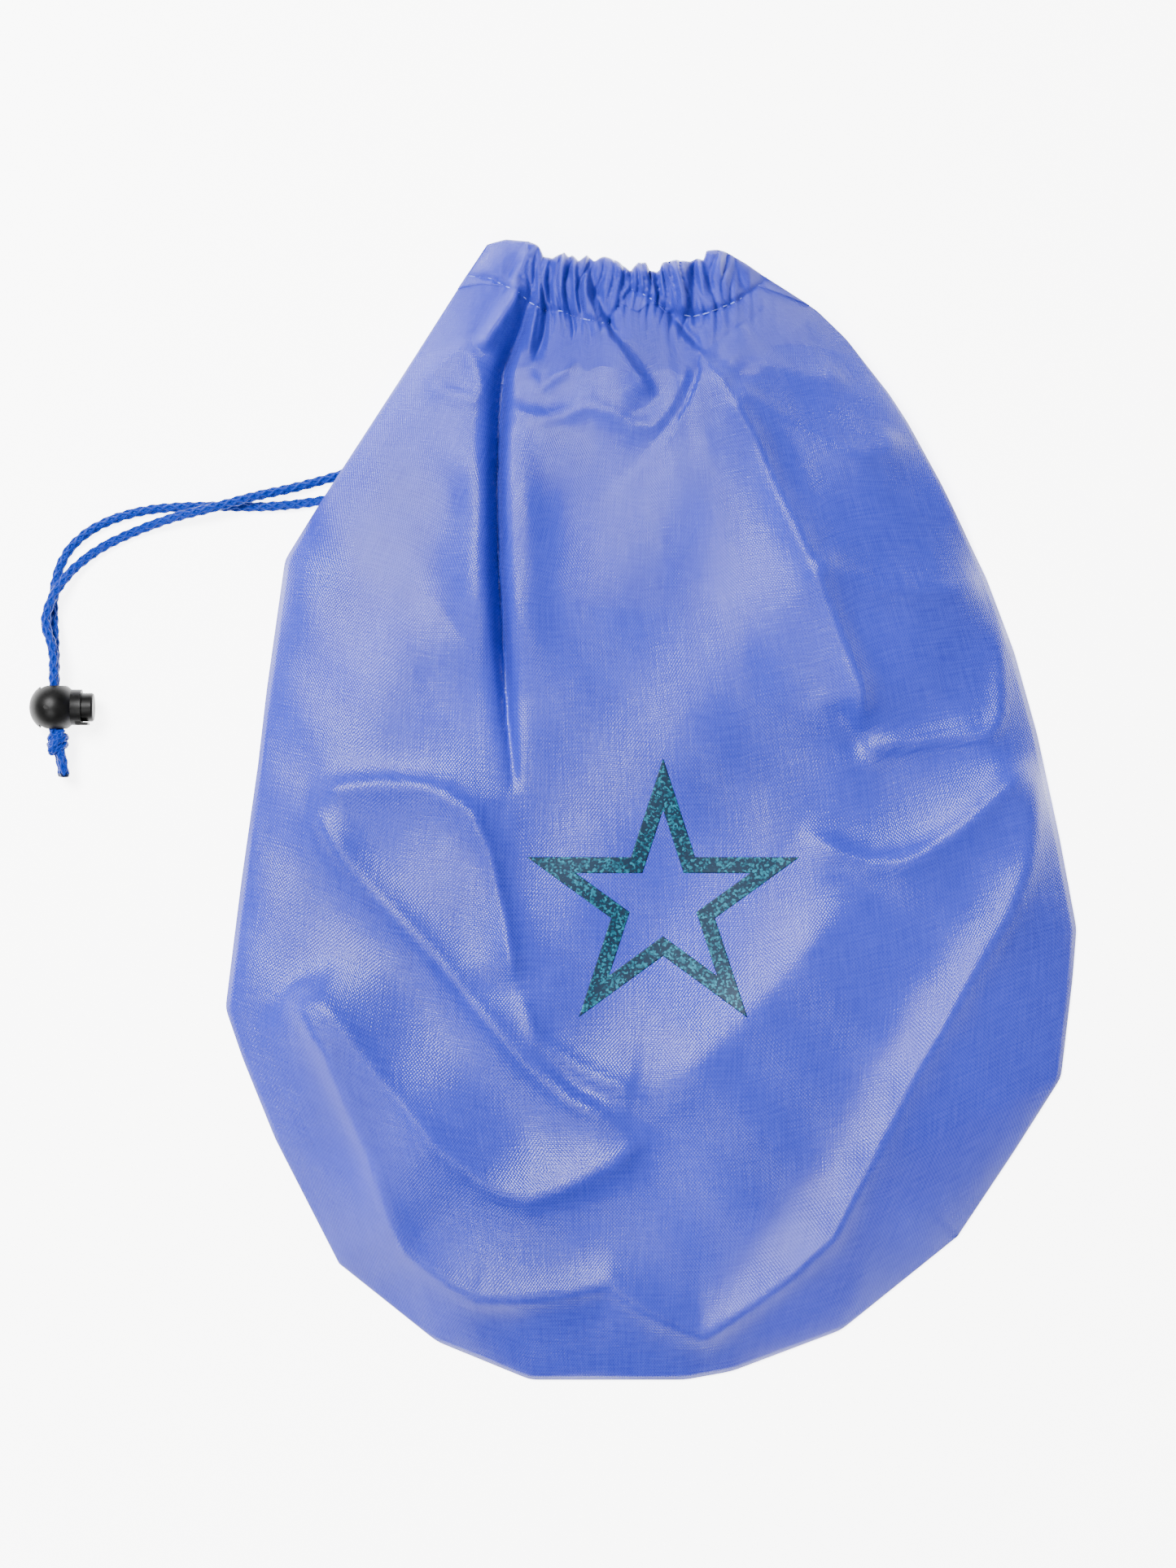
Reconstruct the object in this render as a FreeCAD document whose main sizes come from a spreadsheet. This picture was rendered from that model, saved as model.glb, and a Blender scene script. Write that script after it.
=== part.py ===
"""Drawstring ball bag for rhythmic gymnastics, lying flat on its back.

Frame: millimetres, +Z up, +Y from the round bottom of the bag to its gathered mouth, +X to the
right. The origin is under the middle of the bag, on the surface that it lies on.
"""
import FreeCAD, Part
import math
import os

import Sketcher
from FreeCAD import Placement, Rotation, Vector

# Driving sizes in millimetres, one row each: alias, value, meaning.
SIZES = [
    ("bag_width", 300.0, "widest place of the bag, which is also its round bottom's diameter"),
    ("bag_length", 400.0, "from the round bottom to the edge of the mouth"),
    ("bag_height", 25.0, "height of the crown of the front panel above the floor"),
    ("cloth_wall", 1.2, "wall of the front panel's stand-in solid"),
    ("back_wall", 0.8, "wall of the back panel's stand-in solid"),
    ("shoulder_x", 129.2, "how far left of the middle the left shoulder is"),
    ("shoulder_y", 89.1, "how far above the middle the left shoulder is"),
    ("neck_width", 120.0, "gathered width where the panels meet the casing"),
    ("neck_offset", -8.0, "middle of the neck, left of the bag's middle"),
    ("casing_depth", 22.0, "width of the drawstring casing, from stitch line to mouth edge"),
    ("casing_wall", 0.8, "wall of the casing's stand-in solid"),
    ("casing_lift", 5.2, "height of the casing's underside, over the two cords that lie below"),
    ("mouth_gap", 6.0, "opening between the front and the back of the casing"),
    ("lift_start", 84.0, "where the back panel begins to rise over the cords"),
    ("lift_end", 100.0, "where it has risen"),
    ("seam_allowance_width", 8.0, "width of the turned-in edges"),
    ("seam_allowance_wall", 0.6, "thickness of the turned-in edges"),
    ("seam_thread_diameter", 0.5, "thread of the perimeter seam"),
    ("stitch_length", 2.4, "visible length of one casing stitch"),
    ("stitch_pitch", 3.6, "distance from one casing stitch to the next"),
    ("stitch_radius", 0.3, "half the width of a stitch"),
    ("stitch_inset", 2.0, "casing stitch line above the casing's lower edge"),
    ("star_radius", 50.0, "printed star, middle to point"),
    ("star_stroke", 18.0, "printed star, width of its line measured along a point's radius"),
    ("star_x", 4.0, "middle of the printed star"),
    ("star_y", -31.0, "middle of the printed star"),
    ("film_wall", 0.25, "thickness of the printed film"),
    ("cord_diameter", 3.6, "braided drawstring"),
    ("cord_clearance", 0.5, "room round the drawstring in its casing"),
    ("exit_x", -17.0, "middle of the cord exit"),
    ("exit_clearance", 0.75, "room beside the two cords in their exit"),
    ("exit_strand_gap", 0.5, "between the two cords in their exit"),
    ("exit_slant", 1.8889, "what the cords' slant adds to the exit's length, in cord diameters"),
    ("exit_inset", 1.2, "cord exit above the casing's lower edge"),
    ("exit_binding", 1.0, "width of the thread round the cord exit"),
    ("exit_binding_wall", 0.3, "thickness of the thread round the cord exit"),
    ("lock_x", -209.3, "middle of the ball of the cord lock"),
    ("lock_y", 36.9, "middle of the ball of the cord lock"),
    ("ball_diameter", 17.5, "ball of the cord lock"),
    ("plunger_diameter", 10.1, "button and its shank"),
    ("plunger_reach", 13.9, "from the middle of the ball to the button's outer face"),
    ("plunger_edge", 0.8, "round edge of the button"),
    ("plunger_travel", 2.8, "how far the button is pressed"),
    ("plunger_end_wall", 1.2, "plunger between its cord hole and the spring"),
    ("bore_clearance", 0.08, "room round the plunger, on the radius"),
    ("bore_end_clearance", 0.15, "room behind the plunger when it is pressed"),
    ("collar_wall", 1.15, "wall of the collar round the button"),
    ("collar_reach", 9.7, "from the middle of the ball to the collar's face"),
    ("lip_reach", 12.05, "from the middle of the ball to the end of the thumb lip"),
    ("lip_half_width", 3.4, "half the thumb lip's width"),
    ("hole_clearance", 0.3, "room round the cords in the lock"),
    ("strand_gap", 0.1, "between the two cords inside the lock"),
    ("mouth_flare", 0.5, "how far the ball's flare opens past its cord hole, on the radius"),
    ("flare_depth", 1.7, "depth of that flare below the ball's surface"),
    ("pip_diameter", 1.6, "moulding gate mark on the ball"),
    ("pip_height", 0.3, "moulding gate mark, above the ball"),
    ("spring_pocket_diameter", 5.4, "pocket behind the plunger"),
    ("spring_pocket_end", 7.45, "from the middle of the ball to the end of the pocket"),
    ("spring_diameter", 4.6, "outside of the spring"),
    ("spring_wire", 0.35, "wire of the spring"),
    ("spring_turns", 3.0, "turns of the spring"),
    ("knot_width", 9.2, "overhand knot"),
    ("knot_length", 10.8, "overhand knot"),
    ("knot_seat", 4.5, "middle of the knot below the mouth of the ball's lower flare"),
    ("knot_aside", 1.2, "middle of the knot beside the lock's middle"),
    ("tail_length", 8.5, "cord past the knot"),
]

# Crown of the front panel: how far each level lies in from the outline, and its share of the height.
CROWN = [(0.0, 0.0), (2.5, 0.17), (10.0, 0.46), (26.0, 0.77), (55.0, 1.0)]
NECK_SHARE = 0.45        # the neck narrows by this share of a level's inset on each side
SHOULDER_SHARE = 0.9     # and the shoulder by this share

doc = FreeCAD.newDocument("drawstring_ball_bag")
sheet = doc.addObject("Spreadsheet::Sheet", "dims")
for row, (alias, size, meaning) in enumerate(SIZES, start=1):
    sheet.set(f"A{row}", alias)
    sheet.set(f"B{row}", str(size))
    sheet.set(f"C{row}", meaning)
    sheet.setAlias(f"B{row}", alias)
doc.recompute()


def value(expression):
    """The number that an expression over the sheet gives now."""
    result = sheet.evalExpression(expression)
    return float(getattr(result, "Value", result))


class Dims:
    """The sheet's cells as plain numbers, for shapes made with Part's own functions."""

    def __getattr__(self, alias):
        return float(getattr(sheet, alias))


dim = Dims()

# ---------------------------------------------------------------- derived places, as expressions

NECK_Y = "(dims.bag_length / 2 - dims.casing_depth)"
HIP_Y = "((dims.bag_width - dims.bag_length) / 2)"
TUNNEL = "(dims.cord_diameter + 2 * dims.cord_clearance)"
CASING_HEIGHT = f"({TUNNEL} + 2 * dims.casing_wall)"
MOUTH_LOW = f"(dims.casing_lift + {CASING_HEIGHT})"
MOUTH_HIGH = f"({MOUTH_LOW} + dims.mouth_gap)"
CASING_TOP = f"({MOUTH_HIGH} + {CASING_HEIGHT})"
CASING_MIDDLE = f"(({MOUTH_LOW} + {MOUTH_HIGH}) / 2)"
PLATEAU = "dims.bag_height"
# The cord hole of the lock: both cords lie at the ball's middle, clamped at the button's side.
HOLE_WIDTH = "(dims.cord_diameter + 2 * dims.hole_clearance + dims.plunger_travel)"
HOLE_HEIGHT = "(2 * dims.cord_diameter + dims.strand_gap + 2 * dims.hole_clearance)"
FLARE_RADIUS = f"({HOLE_HEIGHT} / 2 + dims.mouth_flare)"
BALL_HOLE_X = "(0 - dims.plunger_travel / 2)"
PLUNGER_HOLE_X = "(dims.plunger_travel / 2)"
PLUNGER_END = f"({PLUNGER_HOLE_X} - {HOLE_WIDTH} / 2 - dims.plunger_end_wall)"
BORE_END = f"({PLUNGER_END} - dims.plunger_travel - dims.bore_end_clearance)"
BORE_RADIUS = "(dims.plunger_diameter / 2 + dims.bore_clearance)"
COLLAR_RADIUS = f"({BORE_RADIUS} + dims.collar_wall)"


# ---------------------------------------------------------------- sketch and feature helpers

def new_body(label):
    """An empty body with that label."""
    body = doc.addObject("PartDesign::Body", label)
    body.Label = label
    return body


def new_sketch(body, name, plane="XY_Plane", level="0"):
    """A sketch on one of the body's own planes, moved along its normal by an expression."""
    sketch = body.newObject("Sketcher::SketchObject", name)
    base = [f for f in body.Origin.OriginFeatures if f.Role == plane][0]
    sketch.AttachmentSupport = [(base, "")]
    sketch.MapMode = "FlatFace"
    sketch.setExpression("AttachmentOffset.Base.z", level)
    return sketch


def pin(sketch, geometry, end, place):
    """Ties one end of a sketch line or arc to a place given by two expressions."""
    for kind, axis_expression in zip(("DistanceX", "DistanceY"), place):
        now = value(axis_expression)
        if abs(now) < 1e-9:
            axis = -2 if kind == "DistanceX" else -1
            sketch.addConstraint(Sketcher.Constraint("PointOnObject", geometry, end, axis))
            continue
        ends = (-1, 1, geometry, end) if now > 0 else (geometry, end, -1, 1)
        index = sketch.addConstraint(Sketcher.Constraint(kind, *ends, abs(now)))
        sign = "" if now > 0 else "-1 * "
        sketch.setExpression(f"Constraints[{index}]", f"{sign}({axis_expression})")


def flat(place):
    """A place given by two expressions, as a vector."""
    return Vector(value(place[0]), value(place[1]), 0)


def polygon(sketch, places):
    """A closed outline of straight lines through places given by expressions."""
    first = sketch.GeometryCount
    count = len(places)
    for i in range(count):
        line = Part.LineSegment(flat(places[i]), flat(places[(i + 1) % count]))
        sketch.addGeometry(line, False)
    for i in range(count):
        joined = first + (i + 1) % count
        sketch.addConstraint(Sketcher.Constraint("Coincident", first + i, 2, joined, 1))
        pin(sketch, first + i, 1, places[i])


def circle(sketch, place, radius):
    """A circle given by expressions."""
    index = sketch.addGeometry(Part.Circle(flat(place), Vector(0, 0, 1), value(radius)), False)
    pin(sketch, index, 3, place)
    tie = sketch.addConstraint(Sketcher.Constraint("Radius", index, value(radius)))
    sketch.setExpression(f"Constraints[{tie}]", radius)


def stadium(sketch, left, right, low, high):
    """A stadium that lies along the sketch's first axis, with full round ends."""
    radius = f"(({high}) - ({low})) / 2"
    middle = f"(({high}) + ({low})) / 2"
    left_middle, right_middle = f"({left}) + {radius}", f"({right}) - {radius}"
    r = value(radius)
    first = sketch.GeometryCount
    top = Part.LineSegment(flat((right_middle, high)), flat((left_middle, high)))
    bottom = Part.LineSegment(flat((left_middle, low)), flat((right_middle, low)))
    left_circle = Part.Circle(flat((left_middle, middle)), Vector(0, 0, 1), r)
    right_circle = Part.Circle(flat((right_middle, middle)), Vector(0, 0, 1), r)
    left_end = Part.ArcOfCircle(left_circle, math.pi / 2, 3 * math.pi / 2)
    right_end = Part.ArcOfCircle(right_circle, -math.pi / 2, math.pi / 2)
    for part in (top, left_end, bottom, right_end):
        sketch.addGeometry(part, False)
    for a, b in ((0, 1), (1, 2), (2, 3), (3, 0)):
        sketch.addConstraint(Sketcher.Constraint("Tangent", first + a, 2, first + b, 1))
    pin(sketch, first, 1, (right_middle, high))
    pin(sketch, first, 2, (left_middle, high))
    pin(sketch, first + 2, 1, (left_middle, low))


def pad(body, sketch, length, backwards=False):
    """Pads a sketch by an expression."""
    feature = body.newObject("PartDesign::Pad", sketch.Name + "_pad")
    feature.Profile = sketch
    feature.Length = value(length)
    feature.setExpression("Length", length)
    feature.Reversed = backwards
    return feature


def pocket(body, sketch, length, backwards=False):
    """Cuts a sketch into the body by an expression, and makes sure that it cuts."""
    doc.recompute()
    before = body.Shape.Volume
    feature = body.newObject("PartDesign::Pocket", sketch.Name + "_pocket")
    feature.Profile = sketch
    feature.Length = value(length)
    feature.setExpression("Length", length)
    feature.Reversed = backwards
    doc.recompute()
    if not body.Shape.Volume < before:
        raise RuntimeError(f"{feature.Name} cuts nothing")
    return feature


def revolve(body, kind, sketch, axis):
    """Turns a sketch fully round one of its own axes, as a Revolution or a Groove."""
    feature = body.newObject(f"PartDesign::{kind}", sketch.Name + "_turn")
    feature.Profile = sketch
    feature.ReferenceAxis = (sketch, [axis])
    feature.Angle = 360
    return feature


# ---------------------------------------------------------------- outline of the bag

def side_radius(inset, neck_right, top):
    """Radius of the right edge, which leaves the round bottom upright and passes through the
    right end of the neck."""
    run = value(f"dims.bag_width / 2 - ({inset}) - ({neck_right})")
    rise = value(f"{top} - {HIP_Y}")
    return (run * run + rise * rise) / (2 * run)


def outline(sketch, inset, from_y=NECK_Y):
    """The bag's flat outline, drawn in by an inset: two straight left edges, a round bottom and a
    right edge that leaves the bottom upright and bends in to the neck."""
    hip = f"(dims.bag_width / 2 - ({inset}))"
    neck_half = f"(dims.neck_width / 2 - {NECK_SHARE} * ({inset}))"
    neck_left = (f"dims.neck_offset - {neck_half}", from_y)
    neck_right = (f"dims.neck_offset + {neck_half}", from_y)
    shoulder = (f"{SHOULDER_SHARE} * ({inset}) - dims.shoulder_x", "dims.shoulder_y")
    left_hip, right_hip = (f"-1 * {hip}", HIP_Y), (hip, HIP_Y)

    bottom_circle = Part.Circle(flat(("0", HIP_Y)), Vector(0, 0, 1), value(hip))
    bottom = Part.ArcOfCircle(bottom_circle, math.pi, 2 * math.pi)
    radius = side_radius(inset, neck_right[0], from_y)
    side_middle = flat(right_hip) - Vector(radius, 0, 0)
    side_circle = Part.Circle(side_middle, Vector(0, 0, 1), radius)
    side = Part.ArcOfCircle(side_circle, 0, math.asin(value(f"{from_y} - {HIP_Y}") / radius))
    pieces = [
        Part.LineSegment(flat(neck_left), flat(shoulder)),
        Part.LineSegment(flat(shoulder), flat(left_hip)),
        bottom,
        side,
        Part.LineSegment(flat(neck_right), flat(neck_left)),
    ]
    for piece in pieces:
        sketch.addGeometry(piece, False)
    for a, b in ((0, 1), (1, 2), (2, 3), (3, 4), (4, 0)):
        sketch.addConstraint(Sketcher.Constraint("Coincident", a, 2, b, 1))
    pin(sketch, 0, 1, neck_left)
    pin(sketch, 0, 2, shoulder)
    pin(sketch, 1, 2, left_hip)
    pin(sketch, 3, 1, right_hip)
    pin(sketch, 3, 2, neck_right)
    sketch.addConstraint(Sketcher.Constraint("Horizontal", 2, 3, 2, 2))
    sketch.addConstraint(Sketcher.Constraint("Horizontal", 3, 3, 3, 1))


def crown_sketches(body, name, wall):
    """The outline at each level of the crown, drawn in and lowered by a wall."""
    sketches = []
    for number, (inset, share) in enumerate(CROWN):
        rise = f"{share} * (dims.bag_height - dims.back_wall)"
        level = f"dims.back_wall + {rise} - {wall}"
        sketch = new_sketch(body, f"{name}_{number}", level=level)
        outline(sketch, f"{inset} + {wall}")
        sketches.append(sketch)
    return sketches


def loft(body, kind, sketches):
    """A straight-sided loft through sketches."""
    feature = body.newObject(f"PartDesign::{kind}", f"{body.Name}_{kind}")
    feature.Profile = sketches[0]
    feature.Sections = sketches[1:]
    feature.Ruled = True
    return feature


def lifted_profile(sketch, below, above):
    """Side view of a sheet that lies flat and then rises over the cords, between two heights
    measured from its own underside."""
    far = "dims.bag_length / 2 + 20"
    near = "-1 * dims.bag_length / 2 - 20"
    lifted_low, lifted_high = f"dims.casing_lift + {below}", f"dims.casing_lift + {above}"
    polygon(sketch, [
        (near, below), ("dims.lift_start", below), ("dims.lift_end", lifted_low),
        (far, lifted_low), (far, lifted_high), ("dims.lift_end", lifted_high),
        ("dims.lift_start", above), (near, above),
    ])


def make_front_panel():
    """The crowned front of the bag: a shell, open at the neck and underneath. The inside loft
    ends in the neck's own plane, so it opens that end too."""
    body = new_body("front_panel")
    loft(body, "AdditiveLoft", crown_sketches(body, "front_outside", "0"))
    doc.recompute()
    solid_volume = body.Shape.Volume
    loft(body, "SubtractiveLoft", crown_sketches(body, "front_inside", "dims.cloth_wall"))
    doc.recompute()
    if not body.Shape.Volume < 0.5 * solid_volume:
        raise RuntimeError("the front panel isn't hollow")
    under = new_sketch(body, "front_under", "YZ_Plane", "-1 * dims.bag_width")
    lifted_profile(under, "-30", "dims.back_wall")
    pocket(body, under, "2 * dims.bag_width", backwards=True)
    return body


def make_back_panel():
    """The back of the bag: flat on the floor, raised where the cords pass under it."""
    body = new_body("back_panel")
    side = new_sketch(body, "back_side", "YZ_Plane", "-1 * dims.bag_width")
    lifted_profile(side, "0", "dims.back_wall")
    pad(body, side, "2 * dims.bag_width")
    trim = new_sketch(body, "back_trim", level="-5")
    outline(trim, "0")
    far_x, far_y = "dims.bag_width * 1.5", "dims.bag_length"
    polygon(trim, [(f"-1 * {far_x}", f"-1 * {far_y}"), (far_x, f"-1 * {far_y}"),
                   (far_x, far_y), (f"-1 * {far_x}", far_y)])
    pocket(body, trim, "dims.bag_height + 10", backwards=True)
    return body


# ---------------------------------------------------------------- drawstring casing

CASING_LEFT = "(dims.neck_offset - dims.neck_width / 2)"
CASING_RIGHT = "(dims.neck_offset + dims.neck_width / 2)"


def ring_sketch(body, name, grow, from_y):
    """Two nested stadiums across the mouth: the cloth ring's section, thinned by a wall."""
    sketch = new_sketch(body, name, "XZ_Plane", f"-1 * ({from_y})")
    stadium(sketch, f"{CASING_LEFT} + {grow}", f"{CASING_RIGHT} - {grow}",
            f"dims.casing_lift + {grow}", f"{CASING_TOP} - {grow}")
    inner_left = f"{CASING_LEFT} + {CASING_HEIGHT} - {grow}"
    inner_right = f"{CASING_RIGHT} - {CASING_HEIGHT} + {grow}"
    stadium(sketch, inner_left, inner_right, f"{MOUTH_LOW} - {grow}", f"{MOUTH_HIGH} + {grow}")
    return sketch


def make_casing(label, keeps_front):
    """Half of the folded tunnel that runs round the mouth, cut at the side seams."""
    body = new_body(label)
    pad(body, ring_sketch(body, label + "_ring", "0", NECK_Y), "dims.casing_depth",
        backwards=True)
    tunnel = ring_sketch(body, label + "_tunnel", "dims.casing_wall",
                         f"{NECK_Y} + dims.casing_wall")
    pocket(body, tunnel, "dims.casing_depth - 2 * dims.casing_wall", backwards=False)
    half = new_sketch(body, label + "_half", level=f"{CASING_MIDDLE}")
    far_x, far_y = "dims.bag_width", "dims.bag_length"
    polygon(half, [(f"-1 * {far_x}", "0"), (far_x, "0"), (far_x, far_y), (f"-1 * {far_x}", far_y)])
    pocket(body, half, "dims.bag_height + 10", backwards=not keeps_front)
    return body


EXIT_LOW = f"({NECK_Y} + dims.exit_inset)"
EXIT_WIDTH = "(2 * dims.cord_diameter + dims.exit_strand_gap + 2 * dims.exit_clearance)"
EXIT_LENGTH = "(dims.cord_diameter * (1 + dims.exit_slant))"


def exit_places(grow):
    """Corners of the cord exit, grown by a margin."""
    left = f"dims.exit_x - {EXIT_WIDTH} / 2 - {grow}"
    right = f"dims.exit_x + {EXIT_WIDTH} / 2 + {grow}"
    low, high = f"{EXIT_LOW} - {grow}", f"{EXIT_LOW} + {EXIT_LENGTH} + {grow}"
    return [(left, low), (right, low), (right, high), (left, high)]


def make_back_casing():
    """The back half of the casing, with the cord exit in its underside."""
    body = make_casing("back_casing", keeps_front=False)
    hole = new_sketch(body, "cord_exit", level="dims.casing_lift - 1")
    polygon(hole, exit_places("0"))
    pocket(body, hole, "1 + dims.casing_wall + 0.1", backwards=True)
    return body


def make_exit_binding():
    """The close stitches that bind the cord exit, as one flat frame on the cloth."""
    body = new_body("exit_buttonhole")
    frame = new_sketch(body, "exit_frame", level="dims.casing_lift - dims.exit_binding_wall")
    polygon(frame, exit_places("dims.exit_binding"))
    polygon(frame, exit_places("0"))
    pad(body, frame, "dims.exit_binding_wall")
    return body


def make_casing_stitches(label, surface, upwards, skip):
    """One row of stitches along the casing's lower edge, each a half-round bar on the cloth."""
    row_y = value(f"{NECK_Y} + dims.stitch_inset")
    ends = value(CASING_HEIGHT) + value("dims.mouth_gap") / 2
    start = value(CASING_LEFT) + ends
    stop = value(CASING_RIGHT) - ends - dim.stitch_length
    count = int((stop - start) / dim.stitch_pitch) + 1
    stitches = []
    for number in range(count):
        x = start + number * dim.stitch_pitch
        if skip and skip[0] < x + dim.stitch_length and x < skip[1]:
            continue
        bar = Part.makeCylinder(dim.stitch_radius, dim.stitch_length, Vector(), Vector(0, 0, 1), 180)
        turn = Rotation(Vector(0, 1, 0), 90)
        if upwards:
            turn = Rotation(Vector(1, 0, 0), 90) * turn
        else:
            turn = Rotation(Vector(1, 0, 0), -90) * turn
        bar.Placement = Placement(Vector(x, row_y, surface), turn)
        stitches.append(bar)
    return feature_of(label, Part.makeCompound(stitches))


def feature_of(label, shape):
    """A Part::Feature that holds a shape made with Part's own functions."""
    feature = doc.addObject("Part::Feature", label)
    feature.Label = label
    feature.Shape = shape
    feature.Placement = Placement()
    return feature


# ---------------------------------------------------------------- seam inside the bag

SEAM_INSET = "(2.2 + dims.cloth_wall)"


def make_seam_allowance():
    """The turned-in edges, a band that lies on the back panel inside the seam."""
    body = new_body("seam_allowance")
    band = new_sketch(body, "allowance_band", level="dims.back_wall")
    outline(band, SEAM_INSET)
    pad(body, band, "dims.seam_allowance_wall")
    middle = new_sketch(body, "allowance_middle", level="dims.back_wall - 1")
    outline(middle, f"{SEAM_INSET} + dims.seam_allowance_width", from_y=f"({NECK_Y} - 10)")
    pocket(body, middle, "dims.seam_allowance_wall + 2", backwards=True)
    above = new_sketch(body, "allowance_above", level="dims.back_wall - 1")
    far = "dims.bag_width"
    polygon(above, [(f"-1 * {far}", "dims.lift_start - 1"), (far, "dims.lift_start - 1"),
                    (far, "dims.bag_length"), (f"-1 * {far}", "dims.bag_length")])
    pocket(body, above, "dims.seam_allowance_wall + 2", backwards=True)
    return body


def make_seam_thread():
    """The thread of the perimeter seam, lying along the turned-in band. A straight run beside the
    bag's left edge meets the round bottom's arc in a small corner, and the right run follows the
    right edge's arc."""
    inset = value(f"{SEAM_INSET} + dims.seam_allowance_width / 4")
    radius = dim.bag_width / 2 - inset
    hip_y, top = value(HIP_Y), dim.lift_start - 3
    level = dim.back_wall + dim.seam_allowance_wall + dim.seam_thread_diameter / 2
    thread = dim.seam_thread_diameter / 2
    left, right = Vector(-radius, hip_y, level), Vector(radius, hip_y, level)
    shoulder = Vector(SHOULDER_SHARE * inset - dim.shoulder_x, dim.shoulder_y, level)
    upward = (shoulder - left) * ((top - hip_y) / (dim.shoulder_y - hip_y))
    side = side_radius(inset, "dims.neck_offset + dims.neck_width / 2", NECK_Y)

    def on_side(y):
        """A place on the right run."""
        return Vector(radius - side + math.sqrt(side ** 2 - (y - hip_y) ** 2), y, level)

    path = Part.Wire([
        Part.Arc(left, Vector(0, hip_y - radius, level), right).toShape(),
        Part.Arc(right, on_side((hip_y + top) / 2), on_side(top)).toShape(),
    ])
    ring = Part.Circle(left, Vector(0, -1, 0), thread).toShape()
    long_run = path.makePipeShell([Part.Wire([ring])], True, False, 2)
    left_run = Part.makeCylinder(thread, upward.Length, left, upward)
    corner = Part.makeSphere(1.05 * thread, left)
    return feature_of("seam_thread", long_run.fuse([corner, left_run]))


# ---------------------------------------------------------------- print

def make_print():
    """A plain five-pointed star drawn as one open line of glitter film."""
    body = new_body("print_star")
    sketch = new_sketch(body, "star_line", level=PLATEAU)
    inner_share = math.sin(math.radians(18)) / math.sin(math.radians(54))
    for radius in ("dims.star_radius", "(dims.star_radius - dims.star_stroke)"):
        places = []
        for corner in range(10):
            reach = radius if corner % 2 == 0 else f"{inner_share} * {radius}"
            angle = 90 + 36 * corner
            x = f"dims.star_x + {reach} * cos({angle} deg)"
            y = f"dims.star_y + {reach} * sin({angle} deg)"
            places.append((x, y))
        polygon(sketch, places)
    pad(body, sketch, "dims.film_wall")
    return body


# ---------------------------------------------------------------- drawstring

def cord_tube(points, diameter, name):
    """A round tube along straight runs joined by tangent arcs. Each arc is as large as the
    shorter of its two runs allows."""
    points = [Vector(*p) for p in points]
    edges, here, radii = [], points[0], []
    for before, corner, after in zip(points, points[1:], points[2:]):
        back, ahead = (before - corner), (after - corner)
        reach = 0.45 * min(back.Length, ahead.Length)
        half_turn = (math.pi - back.getAngle(ahead)) / 2
        radius = reach / math.tan(half_turn)
        radii.append(radius)
        back.normalize()
        ahead.normalize()
        start, stop = corner + back * reach, corner + ahead * reach
        bisector = (back + ahead).normalize()
        middle = corner + bisector * (radius / math.cos(half_turn) - radius)
        edges.append(Part.LineSegment(here, start).toShape())
        edges.append(Part.Arc(start, middle, stop).toShape())
        here = stop
    edges.append(Part.LineSegment(here, points[-1]).toShape())
    path = Part.Wire(edges)
    ring = Part.Circle(points[0], points[1] - points[0], diameter / 2).toShape()
    tube = path.makePipeShell([Part.Wire([ring])], True, False, 2)
    expected = math.pi * diameter ** 2 / 4 * path.Length
    smallest = min(radii) if radii else 0
    print(f"{name}: length {path.Length:.1f}, radii {[round(r, 1) for r in radii]}, "
          f"smallest {smallest / diameter:.1f} diameters, volume ratio {tube.Volume / expected:.4f}")
    return tube


FLOOR = dim.cord_diameter / 2
NECK_LINE = value(NECK_Y)
BACK_TUNNEL = dim.casing_lift + value(CASING_HEIGHT) / 2
FRONT_TUNNEL = value(MOUTH_HIGH) + value(CASING_HEIGHT) / 2
EXIT_Y = value(f"{EXIT_LOW} + {EXIT_LENGTH} / 2")
EXIT_Z = dim.casing_lift + dim.casing_wall / 2
STRAND_SHIFT = (dim.cord_diameter + dim.strand_gap) / 2
LOCK_Z = dim.ball_diameter / 2
EXIT_SHIFT = (dim.cord_diameter + dim.exit_strand_gap) / 2
EXIT_OVER_X, EXIT_UNDER_X = dim.exit_x - EXIT_SHIFT, dim.exit_x + EXIT_SHIFT
FLARE_MOUTH = value(f"sqrt((dims.ball_diameter / 2)^2 - {FLARE_RADIUS}^2)")
KNOT_MIDDLE = Vector(dim.lock_x + dim.knot_aside, dim.lock_y - FLARE_MOUTH - dim.knot_seat, LOCK_Z)
CORD_END = KNOT_MIDDLE.y + 2.4      # both cords end inside the knot

# Where each cord goes, from the exit to the knot. The upper one crosses over the other twice.
LEG_OVER = [
    (EXIT_OVER_X, EXIT_Y, EXIT_Z),
    (-19.3, NECK_LINE + 0.2, FLOOR),
    (-21.5, 169.5, FLOOR),
    (-29.0, 157.0, FLOOR),
    (-45.0, 144.5, FLOOR),
    (-66.0, 134.0, FLOOR),
    (-89.0, 125.6, FLOOR),
    (-111.0, 118.2, FLOOR),
    (-127.0, 113.9, 2.6),
    (-138.0, 111.5, 5.4),
    (-147.5, 108.8, 6.7),
    (-157.0, 106.2, 6.7),
    (-167.5, 103.9, 4.9),
    (-180.0, 99.7, FLOOR),
    (-192.8, 94.0, FLOOR),
    (-202.3, 86.9, 2.9),
    (-207.3, 80.6, 5.8),
    (-211.0, 74.0, 7.8),
    (-212.9, 66.2, 9.4),
    (dim.lock_x, 57.5, LOCK_Z + STRAND_SHIFT),
    (dim.lock_x, CORD_END, LOCK_Z + STRAND_SHIFT),
]
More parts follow.
